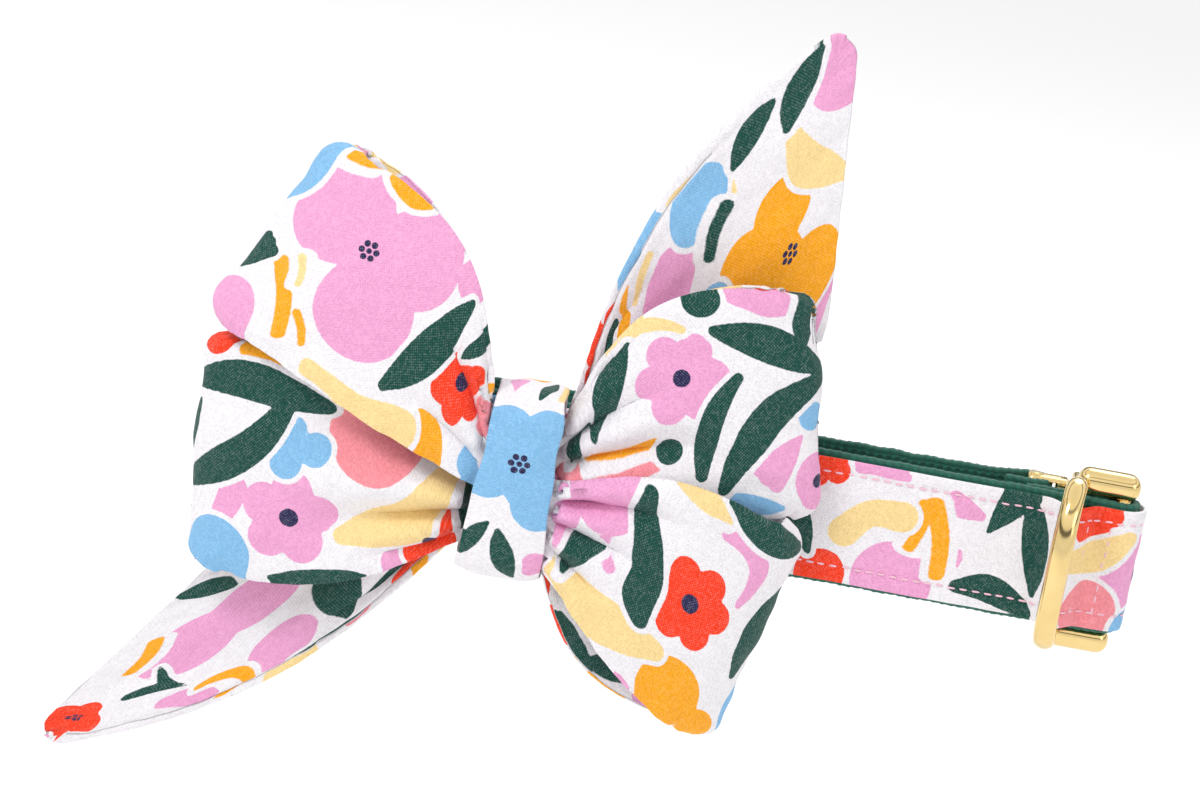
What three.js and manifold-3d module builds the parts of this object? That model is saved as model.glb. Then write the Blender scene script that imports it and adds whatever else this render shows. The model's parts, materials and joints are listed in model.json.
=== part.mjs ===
// Pet bow tie collar: a buckled webbing collar with a printed cover, a leash D-ring and a sailor bow.
// Millimetres, +Z up. The origin is the middle of the neck opening; the bow faces -Y.
import * as THREE from 'three';
import Module from 'manifold-3d';
import { mergeVertices } from 'three/addons/utils/BufferGeometryUtils.js';

const solids = await Module();
solids.setup();

// ---- strap ----
const WEB_WIDTH = 25.4;
const WEB_THICK = 1.8;
const COVER_WIDTH = 24.2;
const COVER_THICK = 1.0;
const PIECE_GAP = 0.3;
const NECK_GAP = 6.4; // between the inner faces of the near and far runs
const COLLAR_LEFT = -88; // outermost point of the hidden left bend
const COLLAR_RIGHT = 92; // outermost point of the fold round the socket bar

// ---- hardware ----
const RING_WIRE = 1.8;
const RING_BAR_X = 77.3;
const RING_HALF_HEIGHT = 16.2; // to the wire's centre
const RING_REACH = 12.5;
const RING_CORNER = 3.5;
const RING_RAISE = 1.3; // the ring sits a little high in its channel
const RING_LEAN = 9; // degrees towards the bow at rest
const BAR_RADIUS = 1.5;
const SLOT_HALF_HEIGHT = 13.2; // half the opening between cheeks, which the webbing passes
const CHEEK = { left: 77.6, right: 90, front: -3.7, back: 2.1, top: 18.4 };
const SOCKET_PLATE = { left: 77, right: 81.3, front: 0.7, back: 6.0, top: 15.4 };
const MOUTH = { left: 76, right: 80.7, front: 2.1, back: 4.7, top: 9.8 };
const TONGUE = { left: 75, right: 80.3, front: 2.4, back: 4.4, top: 9.5 };
const PLUG_FRAME = { left: 68.4, right: 76.7, front: 2.3, back: 6.3, top: 14.3 };
const PLUG_SLOT = { left: 66, right: 74, front: 0, back: 9, top: 13.1 };
const PLUG_BAR_X = 70;
const PLUG_BAR_Y = 4.4;

// ---- bow ----
const BOW_X = -30;
const BOW_Z = -0.5;
const BOW_TILT = 1.3; // degrees the bow hangs clockwise, seen from the front
const CLOTH = 1.5; // wall of a bow band
const KNOT = { width: 14.6, halfHeight: 17, halfDepth: 8.7, centreY: -17.6, wall: 1.5 };
const KEEPER = { width: 12, wall: 1.0 };

// ---- derived places on the strap ----
const WEB_MID = NECK_GAP / 2 + WEB_THICK / 2;
const WEB_OUTER = NECK_GAP / 2 + WEB_THICK;
const COVER_MID = WEB_OUTER + PIECE_GAP + COVER_THICK / 2;
const COVER_OUTER = COVER_MID + COVER_THICK / 2;
const RING_BAR_Y = -(WEB_OUTER + PIECE_GAP + RING_WIRE);
const WEB_TURN = BAR_RADIUS + PIECE_GAP + WEB_THICK / 2; // webbing's radius round a bar
const COVER_TURN = WEB_TURN + WEB_THICK / 2 + PIECE_GAP + COVER_THICK / 2;
const SOCKET_BAR_X = COLLAR_RIGHT - COVER_TURN - COVER_THICK / 2;
const SOCKET_BAR_Y = -(WEB_MID - WEB_TURN);
const TAIL_END_X = 68; // inner end of the turned-back strap
const TAIL_PINCH = 5; // how far from the bar the turned-back strap lies flat again
const NEAR_RUN_END = 60; // where the near run leaves the hardware and lies plain
const PLUG_LEAD = 12; // how far before its bar the far run starts across to the plug
const BAR_WRAP = { top: 72, coverTop: 76, front: -90 }; // degrees round a bar
const BEND_STEPS = 9;
const CROSSING_STEPS = 5;
const CHANNEL_HALF = 5.4;
const CHANNEL_STEPS = 8;
const CHANNEL_STEP = 0.68;

const lerp = (a, b, t) => a + (b - a) * t;
const smooth = (t) => t * t * (3 - 2 * t);

const MATERIALS = {
  webbing: { color: 0x0b5344, roughness: 0.8, metalness: 0 },
  print: { color: 0xf4ece8, roughness: 0.9, metalness: 0 },
  knot: { color: 0x7fb4e4, roughness: 0.9, metalness: 0 },
  elastic: { color: 0xf2f0ec, roughness: 0.9, metalness: 0 },
  gold: { color: 0xe8c46a, roughness: 0.15, metalness: 1 },
};

const group = new THREE.Group();

function addPiece(name, geometry, finish) {
  const mesh = new THREE.Mesh(geometry, new THREE.MeshStandardMaterial(MATERIALS[finish]));
  mesh.name = name;
  group.add(mesh);
  return mesh;
}

// A sheet of even wall from rows of {at, out}: at is the middle of the wall, out its outward direction.
// A ring closes on its first row; otherwise the two ends get walls of their own.
function sheetSolid(rows, wall, ring) {
  const across = rows[0].length;
  const positions = [];
  for (const side of [0.5, -0.5]) {
    for (const row of rows) {
      for (const { at, out } of row) {
        positions.push(at.x + out.x * wall * side, at.y + out.y * wall * side, at.z + out.z * wall * side);
      }
    }
  }
  const layer = rows.length * across;
  const index = [];
  const quad = (a, b, c, d) => index.push(a, b, c, a, c, d);
  const corner = (row, column, inner) => (row % rows.length) * across + column + (inner ? layer : 0);
  const steps = ring ? rows.length : rows.length - 1;
  for (let i = 0; i < steps; i++) {
    for (let j = 0; j < across - 1; j++) {
      quad(corner(i, j), corner(i + 1, j), corner(i + 1, j + 1), corner(i, j + 1));
      quad(corner(i, j, 1), corner(i, j + 1, 1), corner(i + 1, j + 1, 1), corner(i + 1, j, 1));
    }
    const last = across - 1;
    quad(corner(i, 0, 1), corner(i + 1, 0, 1), corner(i + 1, 0), corner(i, 0));
    quad(corner(i, last), corner(i + 1, last), corner(i + 1, last, 1), corner(i, last, 1));
  }
  if (!ring) {
    const end = rows.length - 1;
    for (let j = 0; j < across - 1; j++) {
      quad(corner(0, j), corner(0, j + 1), corner(0, j + 1, 1), corner(0, j, 1));
      quad(corner(end, j + 1), corner(end, j), corner(end, j, 1), corner(end, j + 1, 1));
    }
  }
  const geometry = new THREE.BufferGeometry();
  geometry.setAttribute('position', new THREE.Float32BufferAttribute(positions, 3));
  geometry.setIndex(index);
  return facingOut(geometry);
}

// Turns a closed geometry inside out where its signed volume is negative.
function facingOut(geometry) {
  const p = geometry.attributes.position;
  const index = geometry.index.array;
  const [a, b, c] = [new THREE.Vector3(), new THREE.Vector3(), new THREE.Vector3()];
  let volume = 0;
  for (let i = 0; i < index.length; i += 3) {
    a.fromBufferAttribute(p, index[i]);
    b.fromBufferAttribute(p, index[i + 1]);
    c.fromBufferAttribute(p, index[i + 2]);
    volume += a.dot(b.cross(c));
  }
  if (volume < 0) {
    for (let i = 0; i < index.length; i += 3) {
      [index[i], index[i + 1]] = [index[i + 1], index[i]];
    }
  }
  return geometry;
}

// ---- strap runs: a path in the XY plane, standing as high as the strap is wide ----
function strapSolid(path, width, wall) {
  const rows = path.map((point, i) => {
    const before = path[Math.max(i - 1, 0)];
    const after = path[Math.min(i + 1, path.length - 1)];
    const along = new THREE.Vector2(after[0] - before[0], after[1] - before[1]).normalize();
    const out = new THREE.Vector3(along.y, -along.x, 0);
    return [-0.5, 0.5].map((side) => ({ at: new THREE.Vector3(point[0], point[1], width * side), out }));
  });
  return sheetSolid(rows, wall, false);
}

function arc(centre, radius, fromDegrees, toDegrees, steps) {
  const points = [];
  for (let i = 0; i <= steps; i++) {
    const angle = THREE.MathUtils.degToRad(lerp(fromDegrees, toDegrees, i / steps));
    points.push([centre[0] + radius * Math.cos(angle), centre[1] + radius * Math.sin(angle)]);
  }
  return points;
}

// A smooth crossing from one depth to another, as the strap makes where it is stitched down.
function crossing(fromX, fromY, toX, toY, steps) {
  const points = [];
  for (let i = 1; i <= steps; i++) {
    points.push([lerp(fromX, toX, i / steps), lerp(fromY, toY, smooth(i / steps))]);
  }
  return points;
}

function channelBump(x) {
  const rise = 2 * RING_WIRE + 2 * PIECE_GAP;
  const away = Math.abs(x - RING_BAR_X) / CHANNEL_HALF;
  return away < 1 ? (rise * (1 + Math.cos(Math.PI * away))) / 2 : 0;
}

function webbingPath() {
  const leftCentre = [COLLAR_LEFT + COVER_OUTER, 0];
  const tailY = -WEB_MID + WEB_THICK + PIECE_GAP;
  const plugTurnEnd = PLUG_BAR_Y - WEB_TURN;
  return [
    [TAIL_END_X, tailY],
    [SOCKET_BAR_X - TAIL_PINCH, tailY],
    ...crossing(SOCKET_BAR_X - TAIL_PINCH, tailY, SOCKET_BAR_X, SOCKET_BAR_Y + WEB_TURN, CROSSING_STEPS),
    ...arc([SOCKET_BAR_X, SOCKET_BAR_Y], WEB_TURN, BAR_WRAP.top, BAR_WRAP.front, BEND_STEPS),
    [NEAR_RUN_END, -WEB_MID],
    [BOW_X, -WEB_MID],
    ...arc(leftCentre, WEB_MID, -90, -270, BEND_STEPS),
    [BOW_X, WEB_MID],
    [PLUG_BAR_X - PLUG_LEAD, WEB_MID],
    ...crossing(PLUG_BAR_X - PLUG_LEAD, WEB_MID, PLUG_BAR_X, PLUG_BAR_Y + WEB_TURN, CROSSING_STEPS),
    ...arc([PLUG_BAR_X, PLUG_BAR_Y], WEB_TURN, BAR_WRAP.top, BAR_WRAP.front, BEND_STEPS),
    [PLUG_BAR_X - 6, plugTurnEnd],
  ];
}

function coverPath() {
  const leftCentre = [COLLAR_LEFT + COVER_OUTER, 0];
  const tailY = -WEB_MID + 1.5 * WEB_THICK + 2 * PIECE_GAP + COVER_THICK / 2;
  const pinchX = SOCKET_BAR_X - TAIL_PINCH - COVER_THICK / 2;
  const channel = [];
  for (let step = -CHANNEL_STEPS; step <= CHANNEL_STEPS; step++) {
    const x = RING_BAR_X - step * CHANNEL_STEP;
    channel.push([x, -COVER_MID - channelBump(x)]);
  }
  return [
    [TAIL_END_X + 1, tailY],
    [pinchX, tailY],
    ...crossing(pinchX, tailY, SOCKET_BAR_X, SOCKET_BAR_Y + COVER_TURN, CROSSING_STEPS),
    ...arc([SOCKET_BAR_X, SOCKET_BAR_Y], COVER_TURN, BAR_WRAP.coverTop, BAR_WRAP.front, BEND_STEPS),
    ...channel,
    [NEAR_RUN_END, -COVER_MID],
    [BOW_X, -COVER_MID],
    ...arc(leftCentre, COVER_MID, -90, -270, BEND_STEPS),
    [BOW_X, COVER_MID],
    [PLUG_BAR_X - PLUG_LEAD - COVER_THICK / 2, COVER_MID],
  ];
}

// ---- D-ring: one closed wire, straight along its bar and round in front ----
function ringSolid() {
  const points = [];
  for (const z of [-1, -0.5, 0, 0.5, 1]) {
    points.push(new THREE.Vector3(0, 0, z * (RING_HALF_HEIGHT - RING_CORNER)));
  }
  const depth = RING_REACH - RING_CORNER;
  const ease = 0.3 * RING_CORNER;
  points.push(new THREE.Vector3(0, -ease, RING_HALF_HEIGHT - ease));
  const FRONT_STEPS = 10;
  for (let i = 0; i <= FRONT_STEPS; i++) {
    const angle = (Math.PI * i) / FRONT_STEPS;
    const z = RING_HALF_HEIGHT * Math.sign(Math.cos(angle)) * Math.abs(Math.cos(angle)) ** 0.8;
    points.push(new THREE.Vector3(0, -RING_CORNER - depth * Math.sin(angle) ** 0.9, z));
  }
  points.push(new THREE.Vector3(0, -ease, ease - RING_HALF_HEIGHT));
  const wire = new THREE.CatmullRomCurve3(points, true, 'centripetal');
  return new THREE.TubeGeometry(wire, 56, RING_WIRE, 10, true);
}

// ---- buckle: both halves are blocks with eased edges, joined and cut ----
function toSolid(geometry) {
  const bare = geometry.clone();
  bare.deleteAttribute('normal');
  bare.deleteAttribute('uv');
  const merged = mergeVertices(bare, 1e-4);
  return new solids.Manifold(
    new solids.Mesh({
      numProp: 3,
      vertProperties: new Float32Array(merged.attributes.position.array),
      triVerts: new Uint32Array(merged.index.array),
    }),
  );
}

function fromSolid(solid) {
  const mesh = solid.getMesh();
  const geometry = new THREE.BufferGeometry();
  geometry.setAttribute('position', new THREE.BufferAttribute(mesh.vertProperties, 3));
  geometry.setIndex(new THREE.BufferAttribute(mesh.triVerts, 1));
  return geometry;
}

// A block between named faces, bottom to top, with its corners in XZ rounded and its edges eased.
function easedBlock({ left, right, front, back, top }, bottom, corner, ease) {
  const halfX = (right - left) / 2 - ease;
  const halfZ = (top - bottom) / 2 - ease;
  const shape = new THREE.Shape();
  const turns = [
    [halfX - corner, -halfZ + corner, -0.5],
    [halfX - corner, halfZ - corner, 0],
    [-halfX + corner, halfZ - corner, 0.5],
    [-halfX + corner, -halfZ + corner, 1],
  ];
  for (const [x, z, start] of turns) {
    shape.absarc(x, z, corner, Math.PI * start, Math.PI * (start + 0.5), false);
  }
  const geometry = new THREE.ExtrudeGeometry(shape, {
    depth: back - front - 2 * ease,
    curveSegments: 4,
    bevelEnabled: true,
    bevelThickness: ease,
    bevelSize: ease,
    bevelSegments: 3,
  });
  geometry.rotateX(Math.PI / 2);
  geometry.translate((left + right) / 2, back - ease, (top + bottom) / 2);
  return toSolid(geometry);
}

function sharpBlock({ left, right, front, back, top }) {
  const geometry = new THREE.BoxGeometry(right - left, back - front, 2 * top);
  geometry.translate((left + right) / 2, (front + back) / 2, 0);
  return toSolid(geometry);
}

function standingBar(x, y, length) {
  const geometry = new THREE.CylinderGeometry(BAR_RADIUS, BAR_RADIUS, length, 16);
  geometry.rotateX(Math.PI / 2);
  geometry.translate(x, y, 0);
  return toSolid(geometry);
}

function socketSolid() {
  const bar = standingBar(SOCKET_BAR_X, SOCKET_BAR_Y, 2 * SLOT_HALF_HEIGHT + 3);
  const upper = easedBlock(CHEEK, SLOT_HALF_HEIGHT, 1.4, 0.9);
  const lower = upper.mirror([0, 0, 1]);
  const plate = easedBlock(SOCKET_PLATE, -SOCKET_PLATE.top, 0.6, 0.5);
  return fromSolid(bar.add(upper).add(lower).add(plate).subtract(sharpBlock(MOUTH)));
}

function plugSolid() {
  const frame = easedBlock(PLUG_FRAME, -PLUG_FRAME.top, 1.2, 0.5);
  const bar = standingBar(PLUG_BAR_X, PLUG_BAR_Y, 2 * PLUG_SLOT.top + 1.5);
  return fromSolid(frame.subtract(sharpBlock(PLUG_SLOT)).add(bar).add(sharpBlock(TONGUE)));
}

// ---- bow ----
// Each half loop runs from the knot to its fold and back. Places are from the knot's middle:
// side -1 is the left of the knot. High and low are the band's two edges; swell is how far an edge
// curves outward on the way; y is depth, front and back layer, from the middle of the neck opening.
const LOOPS = {
  front_left: {
    side: -1, rootHigh: 12.5, rootLow: 0, foldHigh: [-46.4, 57.2], foldLow: [-64.1, 21.4],
    swellHigh: 11.5, swellLow: -1, backSwellHigh: 9.5, backSwellLow: 0.5,
    rootFront: -22.9, rootBack: -20.2, foldHighY: -7, foldLowY: -14, puffFront: 8.5, puffBack: 4,
  },
  front_right: {
    side: 1, rootHigh: 2, rootLow: -12.5, foldHigh: [56.7, 0.9], foldLow: [46.8, -45.4],
    swellHigh: 7, swellLow: 2.2, backSwellHigh: -2, backSwellLow: 9.2,
    rootFront: -22.9, rootBack: -20.2, foldHighY: -16, foldLowY: -12, puffFront: 8.5, puffBack: 3.2,
  },
  back_left: {
    side: -1, rootHigh: -1.5, rootLow: -12.5, foldHigh: [-63.6, 15.4], foldLow: [-59.4, -31],
    swellHigh: -2, swellLow: 5.2, backSwellHigh: -2, backSwellLow: 3.5,
    rootFront: -17.5, rootBack: -14.8, foldHighY: -11.5, foldLowY: -12, puffFront: 7, puffBack: 0.6,
  },
  back_right: {
    side: 1, rootHigh: 12.5, rootLow: 4.5, foldHigh: [48.7, 47.4], foldLow: [58.5, 4.5],
    swellHigh: 12, swellLow: 1, backSwellHigh: 10, backSwellLow: 1,
    rootFront: -17.5, rootBack: -14.8, foldHighY: -11, foldLowY: -12, puffFront: 6.5, puffBack: 0.6,
  },
};
// A tail has one layer and a slanting cut: its tip is on one edge and its heel on the other.
const TAILS = {
  left: {
    side: -1, rootHigh: -1.5, rootLow: -12, endHigh: [-47.5, -21.5], endLow: [-78, -71.6],
    swellHigh: 1, swellLow: 10, rootY: -12, endHighY: -4.5, endLowY: -5, puff: 0.4,
  },
  right: {
    side: 1, rootHigh: 12, rootLow: 3, endHigh: [46.1, 95.2], endLow: [53.2, 36.6],
    swellHigh: 9.6, swellLow: 3, rootY: -12, endHighY: -2.5, endLowY: -3, puff: 0.4,
  },
};
const ROOT_X = KNOT.width / 2 + 0.3;
const PLEATS = { count: 3, depth: 1.3, reach: 0.6 };
const LOOP_STEPS = 9; // sections from the knot to the fold
const ACROSS = 13; // points across a band

function edgePoint(root, end, swell, outward, t) {
  const [dx, dz] = [end[0] - root[0], end[1] - root[1]];
  const length = Math.hypot(dx, dz);
  const bow = swell * Math.sin(Math.PI * t) * outward;
  return [lerp(root[0], end[0], t) - (dz / length) * bow, lerp(root[1], end[1], t) + (dx / length) * bow];
}

// The radiating folds: deep beside the knot and gone before the band's middle.
function pleat(v, t) {
  const fade = Math.sin(Math.PI * Math.min(t / PLEATS.reach, 1) ** 0.6);
  return PLEATS.depth * fade * Math.cos(2 * Math.PI * PLEATS.count * v);
}

// Middle of a loop's wall. angle 0 is the front root, 90 degrees the fold, 180 the back root.
function loopPoint(loop, angle, v) {
  const t = Math.sin(angle);
  const isBack = angle > Math.PI / 2;
  const turn = 0.5 - 0.5 * Math.cos(angle);
  const swellHigh = lerp(loop.swellHigh, loop.backSwellHigh, turn);
  const swellLow = lerp(loop.swellLow, loop.backSwellLow, turn);
  const rootX = loop.side * ROOT_X;
  const high = edgePoint([rootX, loop.rootHigh], loop.foldHigh, swellHigh, loop.side, t);
  const low = edgePoint([rootX, loop.rootLow], loop.foldLow, swellLow, -loop.side, t);
  const rootY = lerp(loop.rootFront, loop.rootBack, turn);
  const foldY = lerp(loop.foldLowY, loop.foldHighY, v);
  const crown = 0.72 + 0.28 * (1 - (2 * v - 1) ** 2);
  const puff = isBack ? loop.puffBack : -loop.puffFront;
  const open = Math.sin(2 * Math.min(angle, Math.PI - angle)) ** 1.1;
  return new THREE.Vector3(
    lerp(low[0], high[0], v),
    lerp(rootY, foldY, smooth(t)) + puff * crown * open + pleat(v, t),
    lerp(low[1], high[1], v),
  );
}

// Outward direction of a loop's wall at one section, taken on its middle line.
function loopOutward(loop, angle) {
  const STEP = 0.02;
  const before = loopPoint(loop, Math.max(angle - STEP, 0), 0.5);
  const after = loopPoint(loop, Math.min(angle + STEP, Math.PI), 0.5);
  const reach = new THREE.Vector3(
    (loop.foldHigh[0] + loop.foldLow[0]) / 2 - loop.side * ROOT_X,
    0,
    (loop.foldHigh[1] + loop.foldLow[1] - loop.rootHigh - loop.rootLow) / 2,
  ).normalize();
  const along = after.sub(before);
  const outward = along.dot(reach);
  return reach.multiplyScalar(along.y).add(new THREE.Vector3(0, -outward, 0)).normalize();
}

function halfLoopRows(loop) {
  const rows = [];
  for (let i = 0; i <= 2 * LOOP_STEPS; i++) {
    const angle = (Math.PI * i) / (2 * LOOP_STEPS);
    const out = loopOutward(loop, angle);
    const row = [];
    for (let j = 0; j < ACROSS; j++) {
      row.push({ at: loopPoint(loop, angle, j / (ACROSS - 1)), out });
    }
    rows.push(row);
  }
  return rows;
}

function placedOnBow(geometry) {
  return geometry.rotateY(THREE.MathUtils.degToRad(BOW_TILT)).translate(BOW_X, 0, BOW_Z);
}

// One band makes two loops: left front layer, left fold, left back layer, right back layer, and round.
function bandSolid(left, right) {
  const rows = [...halfLoopRows(left), ...halfLoopRows(right).reverse()];
  return placedOnBow(sheetSolid(rows, CLOTH, true));
}

function tailPoint(tail, t, v) {
  const rootX = tail.side * ROOT_X;
  const high = edgePoint([rootX, tail.rootHigh], tail.endHigh, tail.swellHigh, tail.side, t);
  const low = edgePoint([rootX, tail.rootLow], tail.endLow, tail.swellLow, -tail.side, t);
  const endY = lerp(tail.endLowY, tail.endHighY, v);
  const crown = (1 - (2 * v - 1) ** 2) * Math.sin(Math.PI * t);
  return new THREE.Vector3(
    lerp(low[0], high[0], v),
    lerp(tail.rootY, endY, t ** 0.8) - tail.puff * crown + 0.6 * pleat(v, t),
    lerp(low[1], high[1], v),
  );
}

function tailsSolid() {
  const TAIL_STEPS = 12;
  const out = new THREE.Vector3(0, -1, 0);
  const rows = [];
  for (const [tail, from] of [[TAILS.left, TAIL_STEPS], [TAILS.right, 0]]) {
    for (let i = 0; i <= TAIL_STEPS; i++) {
      const t = Math.abs(from - i) / TAIL_STEPS;
      const row = [];
      for (let j = 0; j < ACROSS; j++) {
        row.push({ at: tailPoint(tail, t, j / (ACROSS - 1)), out });
      }
      rows.push(row);
    }
  }
  return placedOnBow(sheetSolid(rows, CLOTH, false));
}

// The knot: a wide band wrapped once round the gathered bands, slightly barrelled.
function knotSolid() {
  const STEPS = 28;
  const COLUMNS = 5;
  const SQUARENESS = 0.55;
  const rows = [];
  for (let i = 0; i < STEPS; i++) {
    const angle = (2 * Math.PI * i) / STEPS;
    const [c, s] = [Math.cos(angle), Math.sin(angle)];
    const y = -KNOT.halfDepth * Math.sign(c) * Math.abs(c) ** SQUARENESS;
    const z = KNOT.halfHeight * Math.sign(s) * Math.abs(s) ** SQUARENESS;
    const out = new THREE.Vector3(0, -c / KNOT.halfDepth, s / KNOT.halfHeight).normalize();
    const row = [];
    for (let j = 0; j < COLUMNS; j++) {
      const x = (j / (COLUMNS - 1) - 0.5) * KNOT.width;
      row.push({ at: new THREE.Vector3(x, KNOT.centreY + y, z), out });
    }
    rows.push(row);
  }
  return placedOnBow(sheetSolid(rows, KNOT.wall, true));
}

// The elastic that holds the bow on: a flat loop round the near run of the strap.
function keeperSolid() {
  const CLEAR = 0.35;
  const mid = CLEAR + KEEPER.wall / 2;
  const front = -COVER_OUTER - mid;
  const back = -NECK_GAP / 2 + mid;
  const top = WEB_WIDTH / 2 + mid;
  const rows = [
    [front, -top + mid], [front, top - mid], [front + mid, top], [back - mid, top],
    [back, top - mid], [back, -top + mid], [back - mid, -top], [front + mid, -top],
  ].map(([y, z], i, all) => {
    const [y0, z0] = all[(i + 7) % 8];
    const [y1, z1] = all[(i + 1) % 8];
    const out = new THREE.Vector3(0, z0 - z1, y1 - y0).normalize();
    return [-0.5, 0.5].map((side) => ({ at: new THREE.Vector3(BOW_X + KEEPER.width * side, y, z), out }));
  });
  return sheetSolid(rows, KEEPER.wall, true);
}

addPiece('collar_webbing', strapSolid(webbingPath(), WEB_WIDTH, WEB_THICK), 'webbing');
addPiece('collar_cover', strapSolid(coverPath(), COVER_WIDTH, COVER_THICK), 'print');
addPiece('buckle_socket', socketSolid(), 'gold');
addPiece('buckle_plug', plugSolid(), 'gold');
addPiece('bow_front_loops', bandSolid(LOOPS.front_left, LOOPS.front_right), 'print');
addPiece('bow_back_loops', bandSolid(LOOPS.back_left, LOOPS.back_right), 'print');
addPiece('bow_tails', tailsSolid(), 'print');
addPiece('bow_knot', knotSolid(), 'knot');
addPiece('bow_keeper', keeperSolid(), 'elastic');
const ring = addPiece('d_ring', ringSolid(), 'gold');
ring.position.set(RING_BAR_X, RING_BAR_Y, RING_RAISE);
ring.rotation.z = THREE.MathUtils.degToRad(-RING_LEAN);

export default group;
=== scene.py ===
# Pet bow tie collar: webbing strap with a printed cotton cover, gold hardware and a sailor bow.
# Lengths are worked out in millimetres and turned into metres when a mesh is made.
import json
import math

import bpy
import numpy as np
from mathutils import Matrix, Vector


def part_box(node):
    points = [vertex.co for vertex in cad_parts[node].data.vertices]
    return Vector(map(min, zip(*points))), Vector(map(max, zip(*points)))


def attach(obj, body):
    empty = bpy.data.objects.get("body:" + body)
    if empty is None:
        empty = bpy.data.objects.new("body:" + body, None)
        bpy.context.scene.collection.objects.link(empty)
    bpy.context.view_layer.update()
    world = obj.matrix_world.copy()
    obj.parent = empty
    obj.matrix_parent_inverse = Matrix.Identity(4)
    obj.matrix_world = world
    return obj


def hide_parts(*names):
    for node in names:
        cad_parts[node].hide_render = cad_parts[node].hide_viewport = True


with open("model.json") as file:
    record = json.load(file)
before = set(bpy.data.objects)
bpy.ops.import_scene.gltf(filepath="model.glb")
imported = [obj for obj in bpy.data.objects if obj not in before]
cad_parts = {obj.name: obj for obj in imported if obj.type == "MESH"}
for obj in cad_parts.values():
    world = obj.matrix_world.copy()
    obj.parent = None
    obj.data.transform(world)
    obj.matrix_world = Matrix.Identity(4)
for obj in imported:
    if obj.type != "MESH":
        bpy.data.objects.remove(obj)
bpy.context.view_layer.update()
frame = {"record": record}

MM = 0.001


def box_mm(node):
    low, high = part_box(node)
    return np.array(low) / MM, np.array(high) / MM


# ---------------------------------------------------------------- sizes taken from the frame
KNOT_LOW, KNOT_HIGH = box_mm("bow_knot")
COVER_LOW, COVER_HIGH = box_mm("collar_cover")
WEB_LOW, WEB_HIGH = box_mm("collar_webbing")
SOCKET_HIGH = box_mm("buckle_socket")[1]
KEEPER_LOW, KEEPER_HIGH = box_mm("bow_keeper")
RING_PIN = np.array(frame["record"]["behaviour"]["joints"][0]["pos_m"]) / MM

BOW = (KNOT_LOW + KNOT_HIGH) / 2
BOW[1] = 0
BOW_TILT = math.radians(1.3)


def placed_on_bow(x, y, z):
    """From places about the knot's middle to places in the frame, with the bow's slight tilt."""
    x, y, z = np.broadcast_arrays(x, y, z)
    c, s = math.cos(BOW_TILT), math.sin(BOW_TILT)
    return np.stack([x * c + z * s, y, z * c - x * s], -1) + BOW


# ---------------------------------------------------------------- small maths
def lerp(a, b, t):
    return a + (b - a) * t


def smooth(t):
    t = np.clip(t, 0, 1)
    return t * t * (3 - 2 * t)


def unit(v):
    return v / np.maximum(np.linalg.norm(v, axis=-1, keepdims=True), 1e-9)


def bell(x, width):
    return np.exp(-((x / width) ** 2))


class Ripples:
    """Smooth wandering waves over a cloth, the same on every run."""

    def __init__(self, seed, count, shortest, longest):
        rng = np.random.default_rng(seed)
        length = rng.uniform(shortest, longest, count)
        heading = rng.uniform(0, 2 * math.pi, count)
        self.wave = np.stack([np.cos(heading), np.sin(heading)]) * 2 * math.pi / length
        self.phase = rng.uniform(0, 2 * math.pi, count)
        self.scale = 1 / math.sqrt(count)

    def __call__(self, x, y):
        angle = x[..., None] * self.wave[0] + y[..., None] * self.wave[1] + self.phase
        return np.sin(angle).sum(-1) * self.scale


# ---------------------------------------------------------------- the floral print
PRINT_COLOURS = ("pink", "salmon", "red", "orange", "yellow", "blue", "green", "navy")


def petals(count, reach, radius, core):
    turns = 2 * math.pi * np.arange(count) / count
    rings = [[(reach * math.cos(a), reach * math.sin(a), radius)] for a in turns]
    return rings + [[(0, 0, core)]]


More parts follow.
